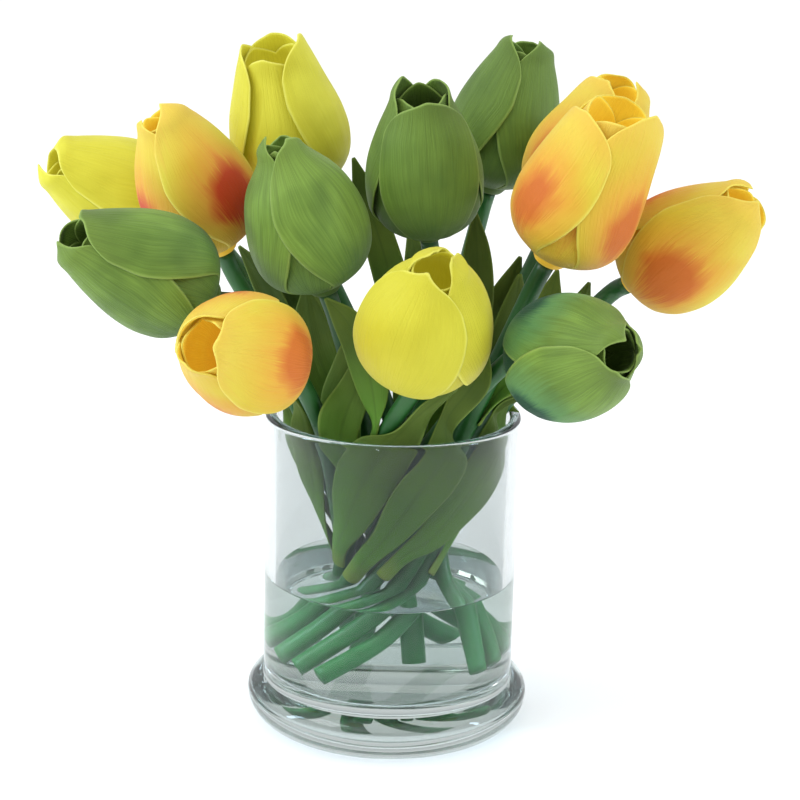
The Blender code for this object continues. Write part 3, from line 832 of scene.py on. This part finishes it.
def spot(tree, across, along, place, size):
    """A soft oval spot on a blade: 1 in its middle, 0 outside."""
    dx = math_node(tree, "DIVIDE", math_node(tree, "SUBTRACT", across, place[0]), size[0])
    dy = math_node(tree, "DIVIDE", math_node(tree, "SUBTRACT", along, place[1]), size[1])
    square = math_node(tree, "ADD", times(tree, dx, dx), times(tree, dy, dy))
    return math_node(tree, "SUBTRACT", 1.0, math_node(tree, "SQRT", square), clamp=True)


def stained(tree, colour, across, along, lines, stain):
    """The colour with a stain: a wide wash, and a streaky heart in its middle."""
    place, size, wash, core = stain
    strength = attribute(tree, "flush")
    wide = times(tree, spot(tree, across, along, place, (size[0] * 1.9, size[1] * 2.0)), strength)
    colour = mixed(tree, times(tree, wide, 1.4, clamp=True), colour, wash)
    streak = math_node(tree, "ADD", times(tree, lines, 0.5), 0.75)
    heart = times(tree, times(tree, spot(tree, across, along, place, size), strength), streak)
    return mixed(tree, times(tree, heart, 2.3, clamp=True), colour, core)


print("a stain is laid on in two coats")

# %% Petal material


def petal_material(name, base, deep, pale, root, stain=None, tip=None, rib=0.5, painted_glow=0.0):
    """Base and deep mix in clouds and ribs; pale is the rim; stain is (where, size, wash, core)."""
    mat, tree, shader = new_material(name)
    across, along = blade_position(tree)
    ribs, dye = use(tree, RIBS, Count=74.0), use(tree, DYE, Scale=42.0)
    colour = ramp(tree, dye["Patches"], [(0.24, deep), (0.56, base)])
    lines = fade(tree, ribs["Ribs"], 0.68, 0.40)
    colour = tinted(tree, colour, lines, rib, deep)
    colour = tinted(tree, colour, fade(tree, along, 0.04, 0.30), 0.7, root)
    x = wandering(tree, across, dye["Patches"], 0.5)
    y = wandering(tree, along, ribs["Ribs"], 0.22)
    if stain:
        colour = stained(tree, colour, x, y, lines, stain)
    if tip:
        colour = tinted(tree, colour, fade(tree, y, 1.0, 0.70), 0.45, tip)
    # painted shade: a head is darkened towards its deep tone by as much as it stands out of the light
    colour = tinted(tree, colour, math_node(tree, "SUBTRACT", 1.0, attribute(tree, "tone")), 0.5, deep)
    # painted highlight, in part: the rim is paler where the edge of the petal catches the light
    colour = tinted(tree, colour, use(tree, RIM, Width=0.32)["Rim"], 0.5, pale)
    tree.links.new(colour, shader.inputs["Base Color"])
    # painted light: the lining gives off its own colour, as if lit through the petal
    if painted_glow:
        tree.links.new(colour, shader.inputs["Emission Color"])
        shader.inputs["Emission Strength"].default_value = painted_glow
    set_sockets(shader, {"Roughness": 0.58, "Specular IOR Level": 0.3, "Sheen Weight": 0.06})
    height = math_node(tree, "ADD", ribs["Ribs"], times(tree, ribs["Fine"], 0.4))
    height = math_node(tree, "ADD", height, times(tree, dye["Specks"], 0.12))
    bumped(tree, height, shader, 0.5, 0.0006)
    return mat


# base, deep and pale tone of each colour; the pale tone of the rim is partly a painted highlight
LEMON = (srgb(208, 202, 56), srgb(184, 176, 32), srgb(230, 228, 108))
AMBER = (srgb(208, 196, 60), srgb(206, 174, 42), srgb(232, 224, 98))
LEAFY = (srgb(116, 148, 56), srgb(70, 98, 28), srgb(152, 180, 90))
PETAL_MATS = {
    "yellow": petal_material("petal_yellow", *LEMON, srgb(184, 188, 52), rib=0.22),
    "orange": petal_material("petal_orange", *AMBER, srgb(212, 160, 46), rib=0.25,
                             stain=((0.5, 0.38), (0.31, 0.25), srgb(216, 126, 46), srgb(188, 46, 16)),
                             tip=srgb(230, 176, 84)),
    # on the green heads the stain's wide wash is a painted mint highlight, and its heart is dark teal streaks
    # near the base
    "green": petal_material("petal_green", *LEAFY, srgb(56, 86, 28), rib=0.5,
                            stain=((0.45, 0.24), (0.40, 0.22), srgb(84, 140, 86), srgb(8, 66, 44)),
                            tip=srgb(104, 122, 48)),
}
# a petal is thin enough to let light through; its lining stands in for that with painted light:
# it gives off its own colour, and the yellow and orange linings are lighter and more golden
PETAL_LININGS = {
    "yellow": petal_material("petal_yellow_inside", *LEMON, srgb(214, 186, 40), rib=0.3, painted_glow=0.22),
    "orange": petal_material("petal_orange_inside", srgb(234, 206, 62), srgb(220, 182, 44),
                             srgb(240, 226, 96), srgb(216, 150, 40), rib=0.3, painted_glow=0.25),
    "green": petal_material("petal_green_inside", *LEAFY, srgb(40, 66, 24), rib=0.6, painted_glow=0.02),
}
print("petal finishes:", list(PETAL_MATS))

# %% [markdown]
# ## The heads
#
# A tulip has three outer petals wrapped over three inner ones. Each is widest below its
# middle and closes towards a rounded tip, so the head is egg-shaped. The outer three
# overlap like tiles: each lies a little inside the one before. The curves below give
# radius and width along a petal as shares of the head's widest radius.

# %% How the petals of each head stand
# where the middles of the three outer petals stand, in degrees round the head's axis from
# the side that faces the front, the outermost first; their lengths as shares of the head's
# length; the inner petals' share; and how wide the outer petals are
PETALS = {
    "bloom_01_yellow": ((40, 285, 165), (0.97, 1.00, 0.94), 0.92, 1.0),
    "bloom_02_orange": ((40, 290, 165), (1.00, 0.96, 0.94), 0.94, 1.0),
    "bloom_03_yellow": ((72, 252, 182), (0.96, 0.93, 0.95), 0.88, 0.96),
    "bloom_04_green": ((40, 280, 160), (0.97, 1.00, 0.96), 0.96, 1.0),
    "bloom_05_green": ((60, 300, 180), (0.95, 1.00, 0.98), 0.92, 1.0),
    "bloom_06_orange": ((0, 120, 240), (1.00, 0.94, 0.97), 0.90, 0.98),
    "bloom_07_yellow": ((338, 92, 222), (0.97, 1.03, 1.02), 0.93, 0.95),
    "bloom_08_green": ((3, 252, 118), (0.93, 1.00, 0.97), 0.92, 0.84),
    "bloom_09_green": ((292, 52, 172), (0.97, 0.99, 0.96), 0.94, 0.98),
    "bloom_10_orange": ((320, 80, 200), (0.96, 1.00, 0.97), 0.94, 1.0),
    "bloom_11_orange": ((311, 60, 190), (0.89, 1.02, 0.97), 0.93, 0.95),
    "bloom_12_orange": ((20, 260, 140), (1.00, 0.99, 0.95), 0.93, 1.0),
    "bloom_13_green": ((60, 305, 178), (0.95, 1.00, 1.04), 0.92, 1.0),
}
# how open a head is: 1 leaves its mouth open, 0 folds the tips over it; others are NEARLY_SHUT
NEARLY_SHUT = 0.15
OPEN = {
    "bloom_03_yellow": 0.9, "bloom_06_orange": 0.8, "bloom_07_yellow": 0.3, "bloom_08_green": 0.8,
    "bloom_09_green": 0.35, "bloom_11_orange": 0.95, "bloom_13_green": 0.35,
}
print(sum(len(row[0]) for row in PETALS.values()), "outer petals")

# %% The outline of a head
FRONT = np.array([0.0, -0.958, 0.287])      # towards the front of the bunch, and a little up


def facing(axis):
    """Across a head's axis: towards the front of the bunch, and towards its right."""
    front = unit(FRONT - axis * (FRONT @ axis))
    return front, np.cross(axis, front)


def petal_radius(along, half, mouth, still_open):
    """Distance of the outermost layer from the axis at a share of the head's length."""
    top = 0.5 * mouth
    neck = top + 0.17 * half
    shoulder = 0.48 * half + 0.5 * max(neck, 0.58 * half)
    end = 2.4 + (top - 2.4) * still_open
    brow = 0.55 * neck + 0.45 * end + 1.2 * (1 - still_open)
    return eased(along, (0.05, 0.11, 0.20, 0.33, 0.50, 0.70, 0.88, 0.96, 1.0),
                 (0.30 * half, 0.66 * half, 0.90 * half, half, 0.96 * half, shoulder, neck, brow, end))


sizes = petal_radius(np.array([0.1, 0.5, 1.0]), half=23.5, mouth=26, still_open=0.95)
print("radius of a wide head low down, in its middle and at its mouth:", np.round(sizes, 1), "mm")

# %% One petal
PETAL_T = 0.9                   # thickness
ROOT = 0.05                     # where a petal leaves the cup, as a share of its length
TIP = 0.22                      # share of its length that its rounded tip takes
GROW = 1.06                     # the soft petals reach this much further than the solid heads
PETAL_AT = (0.05, 0.14, 0.26, 0.44, 0.62, 0.80)     # shares of its length, and its half
PETAL_WIDE = (0.17, 0.42, 0.76, 1.03, 1.07, 0.95)   # width there as a share of the head's radius
INNER_WIDE = 0.9                # the inner petals are narrower than that
LAYER, INNER_GAP = 1.0, 0.6     # each outer petal lies this far inside the one before


def petal_place(name, number):
    """Angle round the axis and share of the head's length: 0 to 2 are the outer petals."""
    angles, shares, inner_share = PETALS[name][:3]
    if number < 3:
        return angles[number], shares[number]
    ring = sorted(a % 360 for a in angles)
    ring.append(ring[0] + 360)
    return (ring[number - 3] + ring[number - 2]) / 2, inner_share


def petal_rule(name, number):
    """Where each corner of a petal's grid goes, and how far it is from the petal's rim."""
    base, angles, length, widest, mouth = HEADS[name][:5]
    length = length * GROW
    axis = direction(*angles)
    front, right = facing(axis)
    turn, share = petal_place(name, number)
    breadth = PETALS[name][3] if number < 3 else INNER_WIDE
    still_open = OPEN.get(name, NEARLY_SHUT)
    half = widest / 2
    layer = min(number, 3) * LAYER + (INNER_GAP if number > 2 else 0)
    # no two petals lean and curl alike
    seed = sum(map(ord, name)) * 0.37 + number * 1.91
    lean = 0.06 * math.sin(seed * 2.3)
    curl = 0.5 + 0.5 * math.sin(seed * 3.1)

    def place(s, v):
        # the far end is an arc with a small point in its middle
        brow = 1 - TIP * (1 - np.sqrt(1 - 0.985 * s * s)) + 0.012 * np.exp(-(s / 0.12) ** 2)
        t = ROOT + (brow - ROOT) * v
        side = ROOT + (1 - 0.878 * TIP - ROOT) * v
        wide = half * eased(side, PETAL_AT, PETAL_WIDE) * breadth
        # it lies on the head's outline, less its layer, and folds over a closed mouth
        radius = petal_radius(t * share, half, mouth, still_open)
        over = (1 - still_open) * smooth((t * share - 0.84) / 0.14)
        radius = np.maximum(radius - layer * smooth((t * share - 0.05) / 0.3) * (1 - 0.85 * over), 1.6)
        arc = np.minimum(wide / np.maximum(radius, 3.0), 1.2)
        turned = math.radians(turn) + s * arc + lean * smooth((t - 0.3) / 0.7)
        # small forms in its surface
        crease = -0.45 * np.exp(-(s / 0.08) ** 2) * smooth((t - 0.12) / 0.3) * smooth((0.97 - t) / 0.25)
        ripple = 0.35 * np.sin(8 * t + seed) * np.abs(s) ** 3 * smooth((t - 0.35) / 0.4)
        lift = 0.5 * np.abs(s) ** 6 * smooth((t - 0.2) / 0.3)
        tip = (curl * 1.4 - 0.5) * still_open * smooth((t - 0.86) / 0.14)
        dimple = 0.35 * np.sin(3.1 * s + seed) * np.sin(6.0 * t + 2 * seed)
        radius = radius + crease + ripple + lift + tip + dimple * smooth((t - 0.1) / 0.3)
        up = length * share * t + 0.4 * np.sin(5 * s + seed) * smooth((t - 0.7) / 0.3) - layer * over
        out = front[None] * np.cos(turned)[:, None] + right[None] * np.sin(turned)[:, None]
        points = np.array(base) + axis[None] * up[:, None] + out * radius[:, None]
        rim = np.minimum((1 - np.abs(s)) * np.maximum(wide, 1.0), (1 - v) * length)
        return points, rim
    return place


print("number 3, an inner petal of bloom_11, stands at", petal_place("bloom_11_orange", 3)[0], "degrees")

# %% The cup below the petals
CUP_R = 4.2                     # its flat underside
CUP_RINGS = ((0.9, 5.2), (1.6, 6.4), (3.4, 8.4))    # rise of each ring above the last, radius


def head_cup(bm, name):
    """The small cup that the petals grow from, with a flat underside on its stem."""
    base, angles = HEADS[name][:2]
    axis = Vector(direction(*angles))
    turn = Vector((0, 0, 1)).rotation_difference(axis).to_matrix().to_4x4()
    place = Matrix.Translation(Vector(base) * MM) @ turn
    made = bmesh.ops.create_circle(bm, cap_ends=True, segments=24, radius=CUP_R * MM, matrix=place)
    edges = list({e for v in made["verts"] for e in v.link_edges})
    size = CUP_R
    for rise, wider in CUP_RINGS:
        grown = bmesh.ops.extrude_edge_only(bm, edges=edges)["geom"]
        verts = [g for g in grown if isinstance(g, bmesh.types.BMVert)]
        edges = [g for g in grown if isinstance(g, bmesh.types.BMEdge)]
        bmesh.ops.translate(bm, verts=verts, vec=axis * rise * MM)
        centre = sum((v.co for v in verts), Vector()) / len(verts)
        bmesh.ops.scale(bm, verts=verts, vec=Vector((wider / size,) * 3), space=Matrix.Translation(-centre))
        size = wider
    rim = bm.verts.layers.float["rim"]
    for v in bm.verts:
        v[rim] = 1.0
    for face in bm.faces:
        face.smooth = True


print("the cup is", round(sum(rise for rise, _ in CUP_RINGS), 1), "mm high")

# %% Six petals make a head
# painted shade on each head, from 0 to 1: lower is darker, for less light; the others take the middle value
MIDDLE_LIGHT = 0.5
HEAD_LIGHT = {
    "bloom_01_yellow": 1.0, "bloom_02_orange": 0.9, "bloom_03_yellow": 1.0, "bloom_04_green": 1.0,
    "bloom_05_green": 0.7, "bloom_07_yellow": 0.0, "bloom_08_green": 0.15, "bloom_09_green": 0.0,
    "bloom_13_green": 0.9,
}


def stain_strength(name, number):
    """How strong the stain is on a petal: strong outside, and only one green head has much."""
    if name.endswith("green"):
        # on a green head the stain is a painted mint highlight with dark teal streaks
        return 1.0 if name == "bloom_13_green" else 0.08
    return 1.0 if number < 3 else 0.25


def make_head(name):
    colour = name.rsplit("_", 1)[1]
    bm = bmesh.new()
    for key in ("rim", "flush", "tone"):
        bm.verts.layers.float.new(key)
    head_cup(bm, name)
    core = np.array(HEADS[name][0]) + direction(*HEADS[name][1]) * HEADS[name][2] * 0.45
    for number in range(6):
        facts = {"flush": stain_strength(name, number), "tone": HEAD_LIGHT.get(name, MIDDLE_LIGHT)}
        sheet(bm, 14, 26, petal_rule(name, number), facts, core)
    piece = finished(name.replace("bloom", "petals"), bm, name, PETAL_MATS[colour])
    thicken(piece, PETAL_T, lining=PETAL_LININGS[colour])
    return piece


heads = [make_head(name) for name in HEADS]
print(len(heads), "heads with", sum(len(h.data.polygons) for h in heads), "faces before rounding")

# %% [markdown]
# ## Stems
#
# The stem is a wire in a smooth soft sleeve, as thick as a pencil. A grid rolled into a
# tube gives it a UV map that runs along its length, so its lower part, which stands in
# the water, can have a lighter, bluer green: painted light, for the brighter look of the
# stem in the water. Both ends are closed with a flat disc.

# %% Stem material


def stem_material():
    mat, tree, shader = new_material("stem_green")
    ribs, dye = use(tree, RIBS, Count=9.0, Waver=0.6), use(tree, DYE, Scale=24.0)
    colour = ramp(tree, dye["Patches"], [(0.32, srgb(10, 52, 14)), (0.66, srgb(38, 102, 40))])
    colour = tinted(tree, colour, ribs["Ribs"], 0.4, srgb(22, 70, 20))
    along = blade_position(tree)[1]
    # painted light: the part in the water is a lighter, bluer green
    colour = tinted(tree, colour, fade(tree, along, 0.10, 0.30), 0.85, srgb(64, 146, 80))
    tree.links.new(colour, shader.inputs["Base Color"])
    shader.inputs["Roughness"].default_value = 0.42
    bumped(tree, ribs["Ribs"], shader, 0.25, 0.0004)
    return mat


STEM_MAT = stem_material()
print(STEM_MAT.name, "has", len(STEM_MAT.node_tree.nodes), "nodes")

# %% Stem tubes
NO_RIM = 99.0                   # a tube has no rim, so every corner counts as far from one


def frames(line):
    """Tangents and a pair of normals that turn as little as possible along the line."""
    tangent = np.gradient(line, axis=0)
    tangent /= np.linalg.norm(tangent, axis=1)[:, None]
    normal = unit(np.cross(tangent[0], [0.3, 0.9, 0.2]))
    normals = []
    for t in tangent:
        normal = unit(normal - t * (normal @ t))
        normals.append(normal)
    normals = np.array(normals)
    return tangent, normals, np.cross(tangent, normals)


def tube_rule(line, radius):
    """Rolls a flat grid round a line: across goes round it, along follows it."""
    _, u, v = frames(line)
    count = len(line) - 1

    def place(s, t):
        at = t * count
        k = np.clip(at.astype(int), 0, count - 1)
        f = (at - k)[:, None]
        centre = line[k] * (1 - f) + line[k + 1] * f
        a, b = u[k] * (1 - f) + u[k + 1] * f, v[k] * (1 - f) + v[k + 1] * f
        turned = (math.pi * s)[:, None]
        size = radius * (1 + 0.03 * np.sin(9 * t + line[0, 0]))[:, None]
        return centre + size * (a * np.cos(turned) + b * np.sin(turned)), np.full(len(s), NO_RIM)
    return place


def make_stem(name, line):
    bm = bmesh.new()
    sheet(bm, 16, 70, tube_rule(line, STEM_R), {})
    bmesh.ops.remove_doubles(bm, verts=bm.verts, dist=1e-6)
    open_rims = [e for e in bm.edges if e.is_boundary]
    bmesh.ops.holes_fill(bm, edges=open_rims, sides=0)
    bmesh.ops.recalc_face_normals(bm, faces=bm.faces)
    return finished(name.replace("stem", "stalk"), bm, name, STEM_MAT)


stalks = [make_stem(name, line) for name, line in fine_stems.items()]
print(len(stalks), "stems")

# %% [markdown]
# ## Leaves
#
# The settled ribbon has only a few dozen points. A finer sheet is read off it with the
# same smooth curve in both directions, and given a soft fold along the midrib and a
# slow wave along each edge, which is what keeps a strap leaf from looking like paper.
# Its green is fresher towards the foot, with a pale collar where it clasps the stem. A
# painted shade runs along the fold of the midrib.

# %% Leaf material


def leaf_material():
    mat, tree, shader = new_material("leaf_green")
    across, along = blade_position(tree)
    ribs, dye = use(tree, RIBS, Count=34.0, Waver=0.8), use(tree, DYE, Scale=30.0)
    colour = ramp(tree, dye["Patches"], [(0.30, srgb(56, 76, 20)), (0.66, srgb(88, 108, 36))])
    colour = tinted(tree, colour, ribs["Ribs"], 0.45, srgb(66, 90, 30))
    colour = tinted(tree, colour, fade(tree, along, 0.15, 0.70), 0.75, srgb(90, 142, 46))
    # painted shade: a darker line along the midrib, in its fold
    fold_shade = ramp(tree, across, [(0.44, (0, 0, 0)), (0.5, (1, 1, 1)), (0.56, (0, 0, 0))])
    colour = tinted(tree, colour, fold_shade, 0.35, srgb(56, 78, 24))
    colour = tinted(tree, colour, fade(tree, along, 0.01, 0.11), 0.7, srgb(132, 146, 60))
    colour = tinted(tree, colour, use(tree, RIM, Width=0.3)["Rim"], 0.5, srgb(116, 138, 62))
    tree.links.new(colour, shader.inputs["Base Color"])
    set_sockets(shader, {"Roughness": 0.6, "Specular IOR Level": 0.2})
    height = math_node(tree, "ADD", ribs["Ribs"], times(tree, ribs["Fine"], 0.3))
    bumped(tree, height, shader, 0.4, 0.0004)
    return mat


LEAF_MAT = leaf_material()
print(LEAF_MAT.name, "has", len(LEAF_MAT.node_tree.nodes), "nodes")

# %% Leaf blades
FOLD, FOLD_WIDE = 0.3, 0.1      # depth of the fold, and its reach as a share of half the width
WAVE, WAVE_EVERY = 0.28, 7.0    # height of the edge waves, and a measure of how far apart they are


def surface_rule(grid, seed):
    """Reads a smooth sheet off a coarse grid of points, with a fold and wavy edges."""
    rows, cols = grid.shape[:2]
    deep = np.linspace(0, 1, rows)
    wide = np.linspace(-1, 1, cols)
    length = np.linalg.norm(np.diff(grid.mean(1), axis=0), axis=1).sum()

    def place(s, t):
        column = np.array([[eased(t, deep, grid[:, j, c]) for c in range(3)] for j in range(cols)])
        points = np.array([[eased(np.array([a]), wide, column[:, c, i])[0] for c in range(3)]
                           for i, a in enumerate(s)])
        span = np.linalg.norm(column[-1] - column[0], axis=0)
        side = (column[-1] - column[0]).T
        onward = np.gradient(grid.mean(1), axis=0)
        onward = np.array([eased(t, deep, onward[:, c]) for c in range(3)]).T
        out = np.cross(side, onward)
        out /= np.linalg.norm(out, axis=1)[:, None] + 1e-9
        fold = -FOLD * np.exp(-(s / FOLD_WIDE) ** 2)
        wave = WAVE * np.sin(t * length / WAVE_EVERY + seed) * np.abs(s) ** 3
        points = points + out * ((fold + wave) * smooth((t - 0.08) / 0.2))[:, None]
        return points, np.minimum((1 - np.abs(s)) * span / 2, (1 - t) * length)
    return place


def make_leaf(name, grid):
    bm = bmesh.new()
    seed = sum(map(ord, name))
    sheet(bm, 8, 40, surface_rule(grid, seed), {})
    piece = finished(name.replace("leaf", "blade"), bm, name, LEAF_MAT)
    thicken(piece, LEAF_T)
    return piece


blades = [make_leaf(name, grid) for name, grid in leaf_grids.items()]
print(len(blades), "leaves")

# %% [markdown]
# ## The vase
#
# Blown and pressed clear glass: a thin straight wall with a fire-polished rim on a
# thick, bulging foot. Half of its outline, spun round the axis, is all it needs.
#
# Clear glass shows every fault of its surface. Smooth shading leans the normals of a long
# face towards its neighbours, so a tall wall that ends in a small round would bend the
# light all the way down. An extra ring of points close to each end of a long face keeps
# its middle straight, and edges that turn by more than 35 degrees are marked sharp.

# %% Vase outline
BODY_R = 50.0                   # outside of the wall
CREASE_Z = 19.0                 # where the wall meets the bulging foot
FOOT_R, FOOT_MID_Z = 56.0, 11.6  # widest part of the foot, and its height
BULGE = 11.7                    # how far the foot's rounding reaches in from there
PUNT = 1.2                      # the underside is hollowed, so that the vase stands on a ring
SHARP = math.radians(35)


def arc(centre, reach, first, last, count):
    """Points on an ellipse in the (radius, height) plane, by angle in degrees."""
    turns = np.radians(np.linspace(first, last, count))
    return [(centre[0] + reach[0] * math.cos(a), centre[1] + reach[1] * math.sin(a)) for a in turns]


def vase_outline():
    mid = (FOOT_R - BULGE, FOOT_MID_Z)
    punt = [(0.0, PUNT), (20.0, PUNT * 0.9), (34.0, PUNT * 0.35), (40.0, 0.0), (40.5, 0.0)]
    foot = punt + arc(mid, (BULGE, FOOT_MID_Z), -90, 0, 18) + arc(mid, (BULGE, 7.8), 5, 60, 12)
    neck = [(BODY_R - 0.2, CREASE_Z + 0.8), (BODY_R - 0.25, CREASE_Z + 3)]
    neck += [(BODY_R - 0.22, CREASE_Z + z) for z in (4, 7, 20, 60, 100)]
    wall, thick = (BODY_R + BORE_R) / 2, (BODY_R - BORE_R) / 2
    lip = [(BODY_R - 0.1, RIM_Z - 3.4), (BODY_R - 0.02, RIM_Z - 2.2)]
    lip += arc((wall, RIM_Z - 1.6), (thick, 1.6), 0, 180, 15) + [(BORE_R, RIM_Z - 2.2), (BORE_R, RIM_Z - 3.4)]
    bowl = [(BORE_R, z) for z in (90.0, 60.0, FLOOR_Z + 6, FLOOR_Z + 4.6)]
    bowl += arc((BORE_R - 4, FLOOR_Z + 4), (4, 4), 0, -90, 9)
    return foot + neck + lip + bowl + [(BORE_R - 4.6, FLOOR_Z), (BORE_R - 7, FLOOR_Z), (0.0, FLOOR_Z)]


def spun(outline, steps):
    """Spins an outline in the XZ plane into a closed body."""
    bm = bmesh.new()
    verts = [bm.verts.new((r * MM, 0, z * MM)) for r, z in outline]
    edges = [bm.edges.new(pair) for pair in zip(verts, verts[1:])]
    bmesh.ops.spin(bm, geom=verts + edges, cent=(0, 0, 0), axis=(0, 0, 1), dvec=(0, 0, 0),
                   angle=2 * math.pi, steps=steps, use_merge=True)
    bmesh.ops.remove_doubles(bm, verts=bm.verts, dist=1e-6)
    bmesh.ops.recalc_face_normals(bm, faces=bm.faces)
    for face in bm.faces:
        face.smooth = True
    for edge in bm.edges:
        edge.smooth = edge.calc_face_angle(0.0) < SHARP
    return bm


print("points in the outline of the vase:", len(vase_outline()))

# %% [markdown]
# Glass and water bend light, and their green only shows where they are thick, so that
# colour is left to the volume. The glass's grey surface tint is a painted shade instead,
# which dims all that is seen through it. Thick glass would also keep lamps off what stands
# in it, because rays that look for a lamp don't bend. A transparent shader takes the place
# of the glass for those rays alone.

# %% Clear materials


def clear_material(name, tint, ior, body, density, pass_light):
    """Glass or water: its surface tint, its body colour, and what it lets pass from lamps."""
    mat, tree, shader = new_material(name)
    set_sockets(shader, {"Base Color": (*tint, 1), "Roughness": 0.0, "IOR": ior,
                         "Transmission Weight": 1.0, "Specular Tint": (0.45, 0.47, 0.5, 1)})
    thick = tree.nodes.new("ShaderNodeVolumeAbsorption")
    set_sockets(thick, {"Color": (*body, 1), "Density": density})
    tree.links.new(thick.outputs[0], tree.nodes["Material Output"].inputs["Volume"])
    rays = tree.nodes.new("ShaderNodeLightPath")
    open_air = tree.nodes.new("ShaderNodeBsdfTransparent")
    open_air.inputs["Color"].default_value = (*pass_light, 1)
    mix = tree.nodes.new("ShaderNodeMixShader")
    tree.links.new(rays.outputs["Is Shadow Ray"], mix.inputs[0])
    tree.links.new(shader.outputs[0], mix.inputs[1])
    tree.links.new(open_air.outputs[0], mix.inputs[2])
    tree.links.new(mix.outputs[0], tree.nodes["Material Output"].inputs["Surface"])
    return mat


# painted shade: the glass's grey tint dims everything seen through it
GLASS_MAT = clear_material("clear_glass", (0.69, 0.715, 0.71), 1.5, (0.62, 0.70, 0.68), 6.0,
                           (0.95, 0.955, 0.955))
WATER_MAT = clear_material("water", (0.97, 0.985, 0.975), 1.333, (0.62, 0.82, 0.72), 5.0,
                           (0.97, 0.98, 0.98))

vase = finished("glass_vase", spun(vase_outline(), 128), "vase", GLASS_MAT)
print("vase faces:", len(vase.data.polygons))

# %% [markdown]
# ## The water
#
# The water has to wet the glass. If a sliver of air were left between them it would
# mirror like a soap film, so the water reaches a hair's breadth into the wall and the
# floor. Its surface climbs a little at the wall, which gives it its bright ring.

# %% Water body
WET = 0.12                      # how far the water reaches into the glass


def water_outline():
    wall = BORE_R + WET
    rise = [(wall - 6.5, WATER_Z), (wall - 5.0, WATER_Z + 0.02), (wall - 3.2, WATER_Z + 0.12),
            (wall - 1.8, WATER_Z + 0.38), (wall - 0.9, WATER_Z + 0.75), (wall, WATER_Z + 1.4)]
    floor = [(BORE_R - z, FLOOR_Z - WET) for z in (7, 4.6)]
    floor += arc((BORE_R - 4, FLOOR_Z + 4), (4 + WET, 4 + WET), -90, 0, 9)
    side = [(wall, z) for z in (FLOOR_Z + 4.6, FLOOR_Z + 6, WATER_Z)]
    return [(0.0, FLOOR_Z - WET)] + floor + side + rise[::-1] + [(wall - 9, WATER_Z), (0.0, WATER_Z)]


water = finished("vase_water", spun(water_outline(), 96), "water", WATER_MAT)
print("water up to", WATER_Z, "mm, in", len(water.data.polygons), "faces")

# %% [markdown]
# ## Studio
#
# A pale floor, a soft sky and a large soft light from the upper left, with a weak one to
# fill the shadows. The sky is brighter overhead than at the horizon, which gives the glass
# its grey outlines. Two narrow bluish lamps stand for windows at the sides, and a small
# one in front makes a glint.

# %% Floor


def make_floor(size):
    mat, _, shader = new_material("pale_floor")
    set_sockets(shader, {"Base Color": (0.96, 0.96, 0.96, 1), "Roughness": 0.9})
    bm = bmesh.new()
    bmesh.ops.create_grid(bm, x_segments=1, y_segments=1, size=size)
    floor = with_mesh("studio_floor", bm, mat)
    floor.location.z = -0.05 * MM       # a hair below the glass, so that the two never share a face


make_floor(8.0)

# %% Sky and lamps


def make_sky(strength):
    world = bpy.data.worlds.new("soft_sky")
    bpy.context.scene.world = world
    world.use_nodes = True
    tree = world.node_tree
    sky = tree.nodes["Background"]
    where = tree.nodes.new("ShaderNodeTexCoord")
    split = tree.nodes.new("ShaderNodeSeparateXYZ")
    tree.links.new(where.outputs["Generated"], split.inputs[0])
    height = math_node(tree, "ADD", times(tree, split.outputs["Z"], 0.5), 0.5)
    colours = [(0.45, (0.54, 0.56, 0.58)), (0.62, (0.76, 0.77, 0.78)), (0.85, (1.0, 1.0, 1.0))]
    tree.links.new(ramp(tree, height, colours), sky.inputs["Color"])
    sky.inputs["Strength"].default_value = strength


def soft_light(name, place, aim, size, power, colour=(1, 1, 1)):
    data = bpy.data.lights.new(name, "AREA")
    data.shape = "RECTANGLE"
    data.size, data.size_y = size
    data.energy = power
    data.color = colour
    lamp = placed(name, data)
    lamp.location = place
    lamp.rotation_euler = (Vector(aim) - Vector(place)).to_track_quat("-Z", "Y").to_euler()


make_sky(1.12)
soft_light("key", (-1.15, -0.55, 1.5), (0, 0, 0.15), (0.8, 0.8), 10)
soft_light("fill", (1.3, -0.9, 0.9), (0, 0, 0.15), (0.7, 0.7), 1.5)
BLUISH = (0.66, 0.83, 1.0)
soft_light("window_left", (-1.5, -0.2, 0.7), (0, 0, 0.12), (0.16, 0.9), 10, BLUISH)
soft_light("window_right", (1.5, -0.35, 0.55), (0, 0, 0.08), (0.14, 0.7), 8, BLUISH)
soft_light("glint", (-0.35, -1.3, 1.2), (0, 0, 0.1), (0.07, 0.07), 1.2)
print(len(bpy.data.lights), "lamps")

# %% Turns of the light
BOUNCES = 24                    # light takes many turns before it gets out of thick glass
for kind in ("max_bounces", "transmission_bounces", "glossy_bounces", "transparent_max_bounces"):
    setattr(bpy.context.scene.cycles, kind, BOUNCES)
print("turns of the light:", bpy.context.scene.cycles.max_bounces)

# %% [markdown]
# ## Camera
#
# It looks a little down on the bunch from the front, with a long lens, as one would
# photograph a vase on a table.

# %% Camera
CAMERA_BACK, CAMERA_UP = 0.8405, 0.3718                 # metres
LOOK_DOWN, LOOK_ASIDE, ROLL = -0.279, -0.003, 0.025     # radians
LENS, SENSOR = 100.8, 36.0                              # millimetres

eye = bpy.data.cameras.new("camera")
eye.sensor_width = SENSOR
eye.lens = LENS
camera = placed("camera", eye)
camera.matrix_world = (Matrix.Translation((0, -CAMERA_BACK, CAMERA_UP))
                       @ Matrix.Rotation(LOOK_ASIDE, 4, "Z")
                       @ Matrix.Rotation(LOOK_DOWN + math.pi / 2, 4, "X")
                       @ Matrix.Rotation(ROLL, 4, "Z"))
bpy.context.scene.camera = camera
bpy.context.scene.view_settings.view_transform = "Standard"
print("width of view:", round(math.degrees(2 * math.atan(SENSOR / 2 / LENS)), 1), "degrees")
